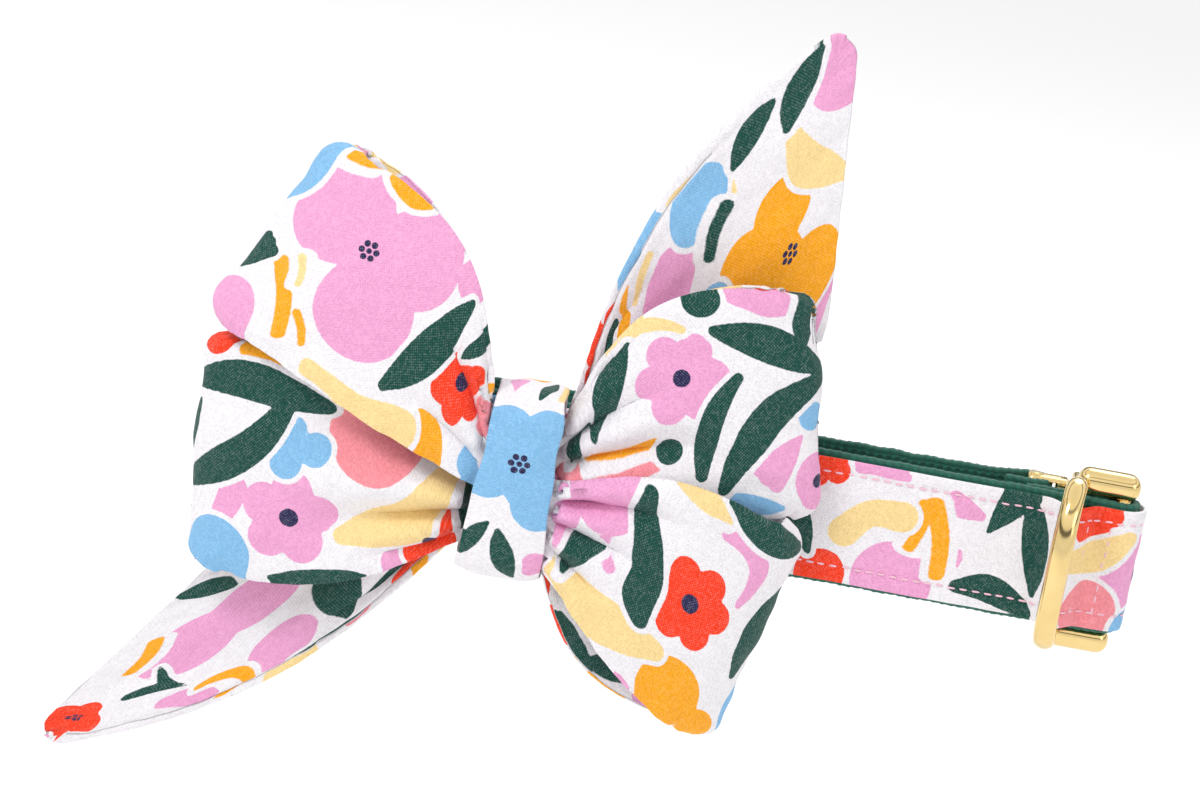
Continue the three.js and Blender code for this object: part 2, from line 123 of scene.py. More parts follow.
# Each motif is a list of brush strokes, and a stroke a list of (x, y, radius) in units of its size.
MOTIFS = {
    "disc": [[(0, 0, 1.0)]],
    "six_petal": petals(6, 0.62, 0.36, 0.5),
    "five_petal": petals(5, 0.58, 0.42, 0.45),
    "trefoil": petals(3, 0.55, 0.5, 0.4),
    "leaf": [[(-1, 0, 0.08), (-0.5, 0.06, 0.24), (0, 0.08, 0.3), (0.5, 0.05, 0.24), (1, 0, 0.07)]],
    "blade": [[(-1, -0.12, 0.12), (-0.4, 0.03, 0.22), (0.3, 0.1, 0.2), (1, -0.02, 0.1)]],
    "wave_leaf": [[(-1, -0.32, 0.1), (-0.6, -0.24, 0.17), (-0.15, 0.0, 0.22),
                   (0.25, 0.16, 0.24), (0.65, 0.2, 0.25), (0.95, 0.36, 0.12)]],
    "pod": [[(-1, -0.14, 0.14), (-0.45, 0.0, 0.3), (0.2, 0.1, 0.36), (0.9, -0.12, 0.18)]],
    "bean": [[(-0.65, 0.15, 0.35), (0, -0.1, 0.3), (0.65, 0.15, 0.35)]],
    "bar": [[(-1, 0, 0.12), (0, 0.08, 0.13), (1, 0, 0.14)]],
    "club": [[(-1, 0, 0.12), (0, 0.07, 0.14), (0.7, 0, 0.24), (1, -0.06, 0.22)]],
    "wedge": [[(-0.85, 0, 0.06), (-0.2, 0.1, 0.2), (0.6, 0.3, 0.22)],
              [(-0.85, 0, 0.06), (-0.2, -0.1, 0.2), (0.6, -0.28, 0.22)], [(0.1, 0, 0.25), (0.55, 0, 0.3)]],
    "arc": [[(-1, -0.35, 0.12), (-0.5, 0.0, 0.17), (0.1, 0.1, 0.18), (0.7, -0.1, 0.14), (1, -0.35, 0.1)]],
    "fork": [[(-1, 0.66, 0.16), (-0.55, 0.34, 0.25), (0.1, 0.06, 0.22), (0.98, 0.0, 0.06)],
             [(-0.95, -0.95, 0.06), (-0.55, -0.6, 0.15), (-0.15, -0.24, 0.19), (0.35, 0.0, 0.2)]],
    "chevron": [[(-1, 0.62, 0.14), (-0.35, 0.5, 0.2), (0.3, 0.28, 0.2), (0.8, 0.05, 0.2)],
                [(-0.95, -0.85, 0.12), (-0.35, -0.5, 0.2), (0.3, -0.2, 0.22), (0.8, 0.05, 0.2)]],
    "boot": [[(-0.8, 0.35, 0.18), (-0.2, 0.35, 0.24), (0.25, 0.1, 0.27),
              (0.3, -0.4, 0.18), (0.15, -0.95, 0.08)]],
}


def eased_stroke(stroke, pieces=5):
    """More points along a stroke, on a smooth curve through the given ones."""
    if len(stroke) < 3:
        return stroke
    knots = [stroke[0], *stroke, stroke[-1]]
    eased = []
    for a, b, c, d in zip(knots, knots[1:], knots[2:], knots[3:]):
        for t in np.arange(pieces) / pieces:
            weights = (-t + 2 * t**2 - t**3, 2 - 5 * t**2 + 3 * t**3, t + 4 * t**2 - 3 * t**3, t**3 - t**2)
            eased.append(tuple(sum(w * k[i] for w, k in zip(weights, (a, b, c, d))) / 2 for i in range(3)))
    return eased + [stroke[-1]]


MOTIFS = {name: [eased_stroke(stroke) for stroke in strokes] for name, strokes in MOTIFS.items()}


def stroke_distance(x, y, stroke):
    """Distance to a brush stroke whose radius changes along it, negative inside."""
    if len(stroke) == 1:
        px, py, radius = stroke[0]
        return np.hypot(x - px, y - py) - radius
    best = np.full(x.shape, 1e3)
    for (ax, ay, ar), (bx, by, br) in zip(stroke, stroke[1:]):
        dx, dy = bx - ax, by - ay
        along = np.clip(((x - ax) * dx + (y - ay) * dy) / (dx * dx + dy * dy), 0, 1)
        reach = np.hypot(x - ax - dx * along, y - ay - dy * along) - lerp(ar, br, along)
        best = np.minimum(best, reach)
    return best


def motif_distance(x, y, row):
    """Distance in millimetres to one row of a print chart."""
    kind, _, at_x, at_y, size, turn = row[:6]
    stretch = row[6] if len(row) > 6 else 1.0
    a = math.radians(turn)
    local_x = ((x - at_x) * math.cos(a) + (y - at_y) * math.sin(a)) / size
    local_y = (-(x - at_x) * math.sin(a) + (y - at_y) * math.cos(a)) / (size * stretch)
    strokes = MOTIFS[kind]
    best = stroke_distance(local_x, local_y, strokes[0])
    for stroke in strokes[1:]:
        best = np.minimum(best, stroke_distance(local_x, local_y, stroke))
    return best * size * min(1.0, abs(stretch))


# Charts: motif, colour, along, across, size, turn in degrees, then how much it is squeezed across.
FILLER = [
    ("five_petal", "pink", 10, 8, 10.5, 20), ("disc", "navy", 10, 8, 1.9, 0),
    ("leaf", "green", 26, 13, 10, 40, 1.2), ("pod", "yellow", 27, -7, 10.5, -20),
    ("six_petal", "red", 44, 5, 9.5, 0), ("disc", "navy", 44, 5, 1.7, 0),
    ("wave_leaf", "green", 9, -12, 12, 10), ("bar", "orange", 38, -13, 6.5, 70, 2),
    ("disc", "blue", 57, 15, 7.5, 0), ("bean", "salmon", 56, -8, 9, 60),
    ("blade", "green", 67, 4, 11, 80, 1.3), ("trefoil", "orange", 77, -14, 10, 15),
    ("disc", "pink", 80, 11, 9, 0), ("leaf", "green", 45, -19, 9, 5, 1.2),
    ("bar", "orange", -2, -3, 6, 80, 2), ("wedge", "pink", 34, 21, 8, 180),
    ("arc", "yellow", 68, 20, 8, 10), ("blade", "green", 92, 2, 11, -70, 1.3),
    ("pod", "pink", 22, -20, 7, 10), ("disc", "yellow", 62, -21, 5, 0), ("disc", "red", 92, -16, 5.5, 0),
]
FILLER_REPEAT = (98.0, 50.0)
INK_MARGIN = 1.0
CHARTS = {
    "front_left": [
        ("disc", "pink", 50.4, 9.7, 9.8, 0), ("disc", "pink", 33.7, 11.6, 9.2, 0),
        ("disc", "pink", 35.6, -1.9, 9.8, 0), ("rosette", "navy", 42, 7, 1, 10),
        ("six_petal", "red", 12, 3, 7.2, 10), ("disc", "navy", 12, 3, 1.5, 0),
        ("leaf", "green", 22, 2, 12, 100), ("bar", "orange", 50, -10, 7.4, 54, 1.7),
        ("bar", "orange", 43.2, -12.6, 3.4, 44, 1.9), ("bar", "yellow", 50, -3.6, 3, 60, 2),
        ("club", "yellow", 26.5, -15.5, 11, 168, 1.4), ("disc", "orange", 12.5, -11.5, 5.6, 0),
        ("wedge", "green", 60, -6, 5.5, 115), ("disc", "pink", 58, -18, 6.5, 0),
        ("leaf", "blue", 61.5, 13, 7.5, 100, 1.2), ("bar", "orange", 56, 20.5, 5, 170, 2.2),
        ("pod", "orange", 42, 20.5, 5.5, 170, 1.1), ("disc", "pink", 65, 20, 4.5, 0),
        ("leaf", "green", 13, 12.5, 6, 105), ("disc", "pink", 22, 17, 4, 0),
        ("disc", "salmon", 3, 4, 3.6, 0), ("pod", "pink", 26, 21, 6, 0), ("disc", "blue", 2, -6, 3, 0),
        ("bar", "orange", 4, 11, 3, 80, 2)],
    "back_left": [
        ("pod", "green", 45, 15.5, 14, 0, 0.75), ("blade", "green", 47, 3.5, 14, 132, 1.1),
        ("disc", "orange", 44, 24.5, 6, 0), ("disc", "red", 55, 24, 4, 0),
        ("blade", "green", 58, 4, 6, 100), ("trefoil", "blue", 35.5, 5.5, 6.5, 60),
        ("disc", "salmon", 20.5, 10.5, 9.4, 0), ("disc", "navy", 21, 14, 1.9, 0),
        ("five_petal", "pink", 35.5, -8.5, 9.8, 20), ("disc", "navy", 35.5, -8.5, 1.9, 0),
        ("pod", "pink", 48.5, -7, 8, 100), ("disc", "blue", 50, -19, 7.5, 0),
        ("pod", "yellow", 14, -4, 12.5, 140), ("six_petal", "red", 8, -8, 6.5, 0),
        ("disc", "navy", 8, -8, 1.5, 0), ("leaf", "green", 1, 3, 7, 95),
        ("leaf", "green", 28, -20, 10, 170), ("disc", "pink", 13, -14, 3.5, 0),
        ("pod", "pink", 30, 22, 6, 0)],
    "tail_left": [
        ("disc", "pink", 59.5, -7, 9.2, 0), ("disc", "pink", 51, 3.5, 9.4, 0),
        ("leaf", "green", 68, 11, 7.5, 10, 1.3), ("leaf", "green", 31, -4, 11, 48, 1.3),
        ("fork", "green", 58, -18, 5, 190), ("arc", "orange", 44, -19, 6, 15, 1.3),
        ("bar", "orange", 68, -8, 5, 85, 2.4), ("disc", "pink", 37, -13.5, 6.6, 0),
        ("pod", "pink", 50, -23, 6, 10, 1.3), ("six_petal", "red", 71.5, -28, 7.2, 0),
        ("rosette", "navy", 71.5, -28, 0.8, 0), ("six_petal", "red", 9, -9, 6.5, 0),
        ("leaf", "green", 24, -16, 9, 160), ("leaf", "green", 17, -6, 6, 150),
        ("disc", "pink", 30, 8, 6, 0), ("disc", "pink", 76, -34, 5, 0)],
    "tail_right": [
        ("disc", "pink", 74, 24, 9, 0), ("disc", "pink", 76, 30, 6, 0),
        ("leaf", "green", 64, 24, 7, 61, 1.6), ("leaf", "green", 53.5, 21.5, 5.8, 42, 1.7),
        ("pod", "yellow", 67, 8, 10, 130), ("disc", "blue", 41, 16, 7, 0),
        ("bar", "yellow", 49, 15, 4.5, 95, 2), ("bar", "green", 45, 8, 4.6, 55, 3),
        ("disc", "orange", 60, 2.5, 6.8, 0), ("disc", "orange", 51, -3.5, 7, 0),
        ("disc", "orange", 67, -14, 8.4, 0), ("disc", "orange", 60, -7, 5, 0),
        ("rosette", "navy", 62, -7, 1, 0), ("disc", "pink", 32, 6, 7, 0), ("pod", "orange", 21, 9, 6, 60),
        ("bar", "yellow", 26, 12, 4, 50, 2), ("pod", "green", 14, 5, 6, 60),
        ("disc", "blue", 42, -6, 5, 0), ("leaf", "green", 28, -7, 8, 30), ("disc", "red", 12, -4, 4, 0),
        ("pod", "pink", 72, -24, 5, 60)],
    "back_right": [
        ("six_petal", "pink", 26, 6, 9.4, 0), ("disc", "navy", 26, 6, 1.7, 0),
        ("leaf", "green", 12, 7, 8.6, 62, 1.15), ("leaf", "green", 43, 11, 11, -20, 1.1),
        ("pod", "green", 41.5, -4, 15, 46, 0.6), ("blade", "green", 31.5, -3.5, 10.5, 62, 0.95),
        ("bean", "pink", 43, 21, 9, -5), ("arc", "yellow", 18, 16, 8.5, 15),
        ("bar", "orange", 13, -5, 6.5, 172, 1.8), ("disc", "green", 31, 21, 3.6, 0),
        ("disc", "green", 22, -8, 2.6, 0), ("leaf", "green", 51, 17, 6, 70, 1.5),
        ("wedge", "pink", 44, -10.5, 7.5, 225), ("disc", "pink", 52, -15, 5.5, 0),
        ("disc", "navy", 52, -15, 1.4, 0), ("disc", "blue", 51, -2, 3, 0),
        ("club", "salmon", 12, -8, 11, 176, 1.7), ("pod", "salmon", 9, -8, 7, 0),
        ("leaf", "blue", 37, -19, 7, 170), ("pod", "green", 4, 0, 4, 70)],
    "front_right": [
        ("six_petal", "red", 33, 1, 9.2, 5), ("disc", "navy", 33, 1, 1.9, 0),
        ("wave_leaf", "green", 21, 3.6, 11.5, 262, 1.3), ("disc", "pink", 10.5, 11.5, 7.8, 0),
        ("pod", "pink", 4.5, 3, 6, 80, 1.3), ("pod", "green", 8.5, -2.5, 5.5, 50, 1.3),
        ("bar", "pink", 14, 0.5, 3.4, 120, 3), ("boot", "pink", 41, 14, 8.5, 0),
        ("leaf", "green", 42, 22, 10, 175, 1.1), ("leaf", "green", 50, 2, 10, 80, 1.1),
        ("pod", "yellow", 17, -11, 13.5, 170), ("disc", "orange", 36.5, -17.5, 7.6, 0),
        ("disc", "orange", 46, -21, 4, 0), ("leaf", "blue", 52, -15, 5, 90),
        ("arc", "yellow", 24, 22, 6, 0), ("leaf", "pink", 25, -22, 5, 0),
        ("bar", "yellow", 27, 21, 7, 175, 2)],
    "front_right_inside": [
        ("pod", "green", 90, -17, 9, 0, 1.3), ("leaf", "green", 76, -17, 6, 0, 1.6),
        ("disc", "pink", 63, -16, 8.5, 0), ("pod", "pink", 56, -20, 5, 0),
        ("disc", "red", 101, -12, 4, 0), ("disc", "yellow", 97, -4, 4, 0),
        ("leaf", "blue", 80, -4, 7, 30), ("six_petal", "red", 66, 6, 8, 0)],
    "front_left_inside": [
        ("disc", "green", 68, -17, 8, 0), ("pod", "green", 84, -17, 9, 0, 1.3),
        ("disc", "pink", 98, -14, 5, 0), ("leaf", "yellow", 80, 0, 8, 40),
        ("five_petal", "pink", 74, 12, 8, 0), ("disc", "red", 100, 4, 5, 0)],
    "knot": [
        ("disc", "blue", 5, -5, 6.6, 0), ("disc", "blue", 3, 4, 6.4, 0), ("disc", "blue", 10, -4, 6.5, 0),
        ("disc", "blue", 10, 4.5, 6.5, 0), ("disc", "blue", -1.5, 5.5, 5.5, 0),
        ("rosette", "navy", 6, 0, 1, 0), ("leaf", "green", -10, -5.6, 4.2, 210, 1.4),
        ("leaf", "green", -12.5, 0.8, 5.4, 156, 1.3), ("disc", "pink", -14, 6.5, 2.6, 0),
        ("wedge", "pink", 23, -3, 4, 0), ("leaf", "green", 22, 3, 4, 20),
        ("bar", "yellow", 22, 6, 3, 0, 2), ("disc", "orange", 30, 0, 4, 0),
        ("leaf", "green", 40, 0, 7, 30), ("five_petal", "pink", 54, 0, 6, 0),
        ("leaf", "green", -22, 0, 5, 80), ("disc", "red", -31, -2, 4.5, 0)],
    "strap": [
        ("five_petal", "red", 95, 12, 6, 0), ("disc", "red", 92, -11, 5, 0),
        ("pod", "pink", 84, 12, 5.5, 0), ("bean", "yellow", 84, 2, 9, 155),
        ("disc", "pink", 78, -10, 8, 0), ("bar", "orange", 75, 2, 5, 100, 2),
        ("bar", "orange", 71, 0, 7.5, 78, 1.8), ("wedge", "pink", 66, 7, 5.5, 15),
        ("wedge", "green", 58, 9, 7.5, 120), ("leaf", "green", 52, 2, 9.5, 78, 1.1),
        ("pod", "green", 58, -9, 8, 10), ("six_petal", "red", 39, 11, 6.5, 0),
        ("pod", "yellow", 38, 3, 9, 160), ("disc", "salmon", 37, -9, 6.5, 0),
        ("five_petal", "pink", 26, -1, 9, 0), ("disc", "navy", 26, -1, 1.6, 0),
        ("disc", "blue", 27, -12, 4, 0), ("disc", "pink", 68, -3, 3, 0), ("leaf", "green", 99, 0, 8, 60),
        ("leaf", "green", 18, 4, 8, 80), ("disc", "orange", 16, -8, 4.5, 0)],
}


def chart_distances(x, y, chart, first=None):
    """Distances to every colour of a chart; colours listed later in PRINT_COLOURS lie on top."""
    found = first or {colour: np.full(x.shape, 9.0) for colour in PRINT_COLOURS}
    for row in chart:
        colour = row[1]
        found[colour] = np.minimum(found[colour], motif_distance(x, y, row))
    return found


def with_margins(found):
    """Draws each colour back from the ones printed over it, so that the ground shows between them."""
    order = PRINT_COLOURS[:-1]
    for k, colour in enumerate(order):
        for above in order[k + 1:]:
            found[colour] = np.maximum(found[colour], INK_MARGIN - found[above])
    return found


def filler_distances(x, y):
    """The scattered print that covers every side which has no chart of its own."""
    width, height = FILLER_REPEAT
    found = {colour: np.full(x.shape, 9.0) for colour in PRINT_COLOURS}
    wrapped_x = np.mod(x, width)
    wrapped_y = np.mod(y + height / 2, height) - height / 2
    for step_x in (-width, 0, width):
        for step_y in (-height, 0, height):
            chart_distances(wrapped_x + step_x, wrapped_y + step_y, FILLER, found)
    return found


# ---------------------------------------------------------------- mesh making
def make_object(name, points, faces):
    mesh = bpy.data.meshes.new(name)
    mesh.from_pydata((np.asarray(points).reshape(-1, 3) * MM).tolist(), [], faces)
    mesh.validate()
    mesh.update()
    mesh.polygons.foreach_set("use_smooth", [True] * len(mesh.polygons))
    piece = bpy.data.objects.new(name, mesh)
    bpy.context.scene.collection.objects.link(piece)
    return piece


def store_numbers(piece, name, values):
    layer = piece.data.attributes.new(name, "FLOAT", "POINT")
    layer.data.foreach_set("value", np.asarray(values, dtype=np.float32).ravel())


def store_vectors(piece, name, values):
    layer = piece.data.attributes.new(name, "FLOAT_VECTOR", "POINT")
    layer.data.foreach_set("vector", np.asarray(values, dtype=np.float32).ravel())


def lattice_faces(rows, columns, ring_rows, ring_columns):
    """Quads of a grid of points, closed on itself in either direction."""
    i = np.arange(rows if ring_rows else rows - 1)[:, None]
    j = np.arange(columns if ring_columns else columns - 1)[None, :]
    a = i * columns + j
    b = ((i + 1) % rows) * columns + j
    c = ((i + 1) % rows) * columns + (j + 1) % columns
    d = i * columns + (j + 1) % columns
    return np.stack([a + 0 * b, b + 0 * a, c + 0 * a, d + 0 * b], -1).reshape(-1, 4).tolist()


class Cloth:
    """A sewn-and-turned band: a middle surface given a wall with rounded, seamed edges."""

    EDGE_STEPS = 7

    def __init__(self, middle, outward, half, ring):
        """middle is rows x columns x 3, outward the side that is face, half the wall's half thickness."""
        self.rows, self.columns = middle.shape[:2]
        along = np.gradient(middle, axis=0)
        if ring:
            along = (np.roll(middle, -1, 0) - np.roll(middle, 1, 0)) / 2
        across = np.gradient(middle, axis=1)
        normal = unit(np.cross(along, across))
        facing = np.sign((normal * outward).sum(-1, keepdims=True))
        normal = unit(normal * np.where(facing == 0, 1, facing))
        half = np.broadcast_to(half, middle.shape[:2])[..., None]
        self.face = middle + normal * half
        self.back = middle - normal * half
        self.ring = ring
        self.sides = []
        for column, sign in ((-1, 1), (0, -1)):
            aside = unit(across[:, column]) * sign
            up = normal[:, column]
            aside = unit(aside - up * (aside * up).sum(-1, keepdims=True))
            angles = np.linspace(0, math.pi, self.EDGE_STEPS + 2)[1:-1]
            if sign < 0:
                angles = angles[::-1]
            points = []
            for angle in angles:
                seam = 1 - 0.3 * bell(angle - math.pi / 2, 0.3)
                spoke = aside * math.sin(angle) + up * math.cos(angle)
                points.append(middle[:, column] + spoke * half[:, column] * seam)
            self.sides.append(np.stack(points, 1))

    def points(self):
        return np.concatenate([self.face, self.sides[0], self.back[:, ::-1], self.sides[1]], 1)

    def spread(self, face_values, back_values):
        """Values on the face and back grids, carried round the edges, in the order of points()."""
        high = np.repeat(face_values[:, -1:], self.EDGE_STEPS, 1)
        low = np.repeat(face_values[:, :1], self.EDGE_STEPS, 1)
        return np.concatenate([face_values, high, back_values[:, ::-1], low], 1)

    def build(self, name):
        points = self.points()
        rows, columns = points.shape[:2]
        faces = lattice_faces(rows, columns, self.ring, True)
        if not self.ring:
            faces += cap_faces(columns, self.columns, self.EDGE_STEPS, 0, False)
            faces += cap_faces(columns, self.columns, self.EDGE_STEPS, (rows - 1) * columns, True)
        return make_object(name, points, faces)


def cap_faces(ring, columns, edge, start, turned):
    """Closes one cut end: strips between face and back, and a fan at each rounded edge."""
    faces = []
    back = columns + edge
    for j in range(columns - 1):
        faces.append([j, j + 1, back + columns - 2 - j, back + columns - 1 - j])
    high = list(range(columns - 1, back + 1))
    low = list(range(back + columns - 1, ring)) + [0]
    faces += [high, low]
    faces = [[start + k for k in face] for face in faces]
    return [face[::-1] for face in faces] if turned else faces


def resample(path, spacing):
    """Even steps along a path of points."""
    path = np.asarray(path, float)
    length = np.concatenate([[0], np.cumsum(np.linalg.norm(np.diff(path, axis=0), axis=1))])
    count = max(int(round(length[-1] / spacing)), 2)
    at = np.linspace(0, length[-1], count + 1)
    return np.stack([np.interp(at, length, path[:, k]) for k in range(path.shape[1])], 1)


# ---------------------------------------------------------------- the bow's loops and tails
# Places are from the knot's middle, side -1 on its left. High and low are a band's two edges, and
# swell is how far an edge curves outward on the way. Depths are from the middle of the neck opening.
LOOPS = {
    "front_left": dict(
        side=-1, root_high=15.0, root_low=0, fold_high=(-46.4, 57.2), fold_low=(-64.1, 21.4),
        swell_high=11.5, swell_low=0.5, back_swell_high=9.5, back_swell_low=-4.5, root_front=-22.9,
        root_back=-20.2, fold_high_y=-7, fold_low_y=-14, puff_front=8.5, puff_back=4),
    "front_right": dict(
        side=1, root_high=3, root_low=-12.5, fold_high=(56.7, 0.9), fold_low=(46.8, -45.4),
        swell_high=7, swell_low=2.2, back_swell_high=-2, back_swell_low=9.2, root_front=-22.9,
        root_back=-20.2, fold_high_y=-16, fold_low_y=-12, puff_front=8.5, puff_back=3.2),
    "back_left": dict(
        side=-1, root_high=0.5, root_low=-12.5, fold_high=(-63.6, 15.4), fold_low=(-59.4, -31),
        swell_high=6.5, swell_low=5.2, back_swell_high=4, back_swell_low=3.5, root_front=-17.5,
        root_back=-14.8, fold_high_y=-11.5, fold_low_y=-12, puff_front=7, puff_back=0.6),
    "back_right": dict(
        side=1, root_high=14.5, root_low=2.0, fold_high=(48.7, 47.4), fold_low=(58.5, 4.5),
        swell_high=12, swell_low=1, back_swell_high=10, back_swell_low=1, root_front=-17.5,
        root_back=-14.8, fold_high_y=-11, fold_low_y=-12, puff_front=6.5, puff_back=0.6),
}
TAILS = {
    "left": dict(
        side=-1, root_high=-1.5, root_low=-12, end_high=(-47.5, -21.5), end_low=(-88.2, -80.4),
        swell_high=1, swell_low=10, root_y=-12, end_high_y=-4.5, end_low_y=-5, puff=0.4, tip_round=3.2),
    "right": dict(
        side=1, root_high=14, root_low=3, end_high=(46.6, 100.2), end_low=(53.2, 36.6),
        swell_high=9.6, swell_low=3, root_y=-12, end_high_y=-2.5, end_low_y=-3, puff=0.4, tip_round=3.8),
}
KNOT_SIZE = np.array([14.6, KNOT_HIGH[1] - KNOT_LOW[1], 38.2])
ROOT_X = KNOT_SIZE[0] / 2 + 0.3
CLOTH_HALF = 0.75
CORNER_ROUND = 4.5
HEEL_ROUND = 4.0
TIP_REACH = 2.0
SEAM_ROLL = 2.1
LOOP_STEPS = 210
ACROSS = 74

# Gathers: where across the band they start at the knot and where they end, their half width, their
# depth in millimetres (a minus sign makes a ridge), and how far out they reach, 1 being the fold.
GATHERS = {
    "front_left": [
        (0.30, 0.24, 0.05, 1.5, 0.38), (0.46, 0.46, 0.08, -0.8, 0.4),
        (0.66, 0.70, 0.05, 2.2, 0.42), (0.84, 0.86, 0.06, -1.0, 0.4), (0.95, 0.95, 0.03, 1.2, 0.3)],
    "front_right": [
        (0.92, 0.97, 0.07, -2.0, 0.7), (0.78, 0.86, 0.045, 2.2, 0.62), (0.66, 0.76, 0.06, -1.6, 0.5),
        (0.52, 0.58, 0.035, 2.4, 0.45), (0.38, 0.44, 0.06, -1.4, 0.4), (0.24, 0.28, 0.035, 2.0, 0.36),
        (0.10, 0.14, 0.05, -0.9, 0.3)],
    "back_left": [
        (0.88, 0.74, 0.10, 3.0, 0.72), (0.60, 0.46, 0.09, -3.0, 0.74), (0.40, 0.26, 0.06, 2.6, 0.6),
        (0.26, 0.16, 0.05, -1.5, 0.5), (0.12, 0.1, 0.04, 1.6, 0.42)],
    "back_right": [
        (0.93, 0.9, 0.04, 1.4, 0.42), (0.76, 0.78, 0.07, -1.2, 0.5), (0.58, 0.62, 0.04, 2.0, 0.5),
        (0.44, 0.5, 0.07, -1.2, 0.55), (0.30, 0.34, 0.045, 2.6, 0.62), (0.12, 0.16, 0.09, -3.2, 0.72)],
    "left": [(0.8, 0.7, 0.06, 1.5, 0.6), (0.45, 0.5, 0.09, -1.2, 0.55), (0.2, 0.3, 0.05, 1.4, 0.5)],
    "right": [(0.8, 0.7, 0.06, 1.2, 0.6), (0.5, 0.5, 0.09, -1.0, 0.5), (0.2, 0.3, 0.05, 1.4, 0.5)],
}
GATHER_DEPTH = 1.6
broad_waves = Ripples(11, 9, 16, 34)
small_waves = Ripples(23, 16, 4.5, 10)
edge_waves = Ripples(37, 10, 3.2, 6.5)


def edge_line(root, end, swell, outward, t):
    run_x, run_z = end[0] - root[0], end[1] - root[1]
    length = math.hypot(run_x, run_z)
    bow = swell * np.sin(np.pi * t) * outward
    return root[0] + run_x * t - run_z / length * bow, root[1] + run_z * t + run_x / length * bow


def gathered(rows, v, t):
    """Depth added by a band's gathers, which fade towards its fold."""
    depth = np.zeros(np.broadcast(v, t).shape)
    for start, end, width, deep, reach in rows:
        centre = lerp(start, end, t)
        spread = width * (1 + 0.7 * t)
        fade = np.clip(1 - t / reach, 0, 1)
        rise = smooth(t / 0.06)
        sharp = 1.35 if deep > 0 else 2.0
        profile = np.exp(-(np.abs(v - centre) / spread) ** sharp)
        depth = depth + GATHER_DEPTH * deep * profile * fade ** 0.8 * rise
    return depth


def corner_loss(distance, radius):
    """How far a rounded corner pulls the end of a band back, at this distance from its edge."""
    inside = np.clip(radius - distance, 0, radius)
    return radius - np.sqrt(np.maximum(radius ** 2 - inside ** 2, 0))


class Strip:
    """A run of a band: its middle surface with cloth coordinates along and across, in millimetres."""

    def __init__(self, points, along, across, width, outward):
        self.points = points
        self.along = along
        self.across = across
        self.width = width
        self.outward = outward

    def backwards(self):
        parts = (self.points, self.along, self.across, self.width, self.outward)
        return Strip(*(part[::-1] for part in parts))


def half_loop(name):
    loop = LOOPS[name]
    side = loop["side"]
    angle = np.linspace(0, math.pi, LOOP_STEPS)[:, None]
    v = np.linspace(0, 1, ACROSS)[None, :]
    t = np.sin(angle)
    turn = 0.5 - 0.5 * np.cos(angle)
    swell_high = lerp(loop["swell_high"], loop["back_swell_high"], turn)
    swell_low = lerp(loop["swell_low"], loop["back_swell_low"], turn)
    root_high = (side * ROOT_X, loop["root_high"])
    root_low = (side * ROOT_X, loop["root_low"])
    high_x, high_z = edge_line(root_high, loop["fold_high"], swell_high, side, t)
    low_x, low_z = edge_line(root_low, loop["fold_low"], swell_low, -side, t)
    x, z = lerp(low_x, high_x, v), lerp(low_z, high_z, v)
    width = np.hypot(high_x - low_x, high_z - low_z)
    reach = unit(np.array([
        (loop["fold_high"][0] + loop["fold_low"][0]) / 2 - side * ROOT_X,
        (loop["fold_high"][1] + loop["fold_low"][1]) / 2 - (loop["root_high"] + loop["root_low"]) / 2]))
    loss = corner_loss((0.5 - np.abs(v - 0.5)) * width, CORNER_ROUND) * t ** 9
    x, z = x - reach[0] * loss, z - reach[1] * loss
    root_y = lerp(loop["root_front"], loop["root_back"], turn)
    fold_y = lerp(loop["fold_low_y"], loop["fold_high_y"], v)
    crown = 0.72 + 0.28 * (1 - (2 * v - 1) ** 2)
    puff = np.where(turn < 0.5, -loop["puff_front"], loop["puff_back"])
    opening = np.sin(2 * np.minimum(angle, math.pi - angle)) ** 1.1
    y = lerp(root_y, fold_y, smooth(t)) + puff * crown * opening
    front = 1 - smooth((turn - 0.4) / 0.2)
    y = y + gathered(GATHERS[name], v, t) * lerp(-0.35, 1, front)
    points = placed_on_bow(x, y, z)
    middle = points[:, ACROSS // 2]
    along = np.concatenate([[0], np.cumsum(np.linalg.norm(np.diff(middle, axis=0), axis=1))])
    tangent = unit(np.gradient(middle, axis=0))
    flat_reach = placed_on_bow(reach[0], 0, reach[1]) - BOW
    outward = unit(flat_reach * tangent[:, 1:2] + np.array([0, -1, 0]) * (tangent @ flat_reach)[:, None])
    across = (v - 0.5) * width
    return Strip(points, along[:, None] + 0 * v, across, width, outward[:, None, :])


def rounded_tip(x, z, tip, one_edge, other_edge, radius):
    """Draws the sharp tip between two edges back to a round one."""
    axis = unit(one_edge + other_edge)
    half = math.acos(float(one_edge @ other_edge)) / 2
    deep = (x - tip[0]) * axis[0] + (z - tip[1]) * axis[1]
    aside = -(x - tip[0]) * axis[1] + (z - tip[1]) * axis[0]
    aside = np.clip(np.abs(aside), 0, radius * math.cos(half))
    sharp = aside / math.tan(half)
    blunt = radius / math.sin(half) - np.sqrt(radius ** 2 - aside ** 2)
    limit = TIP_REACH * radius / math.sin(half)
    eased = limit - (limit - deep) * (limit - blunt) / (limit - sharp)
    move = np.where(deep < limit, eased - deep, 0)
    return x + axis[0] * move, z + axis[1] * move


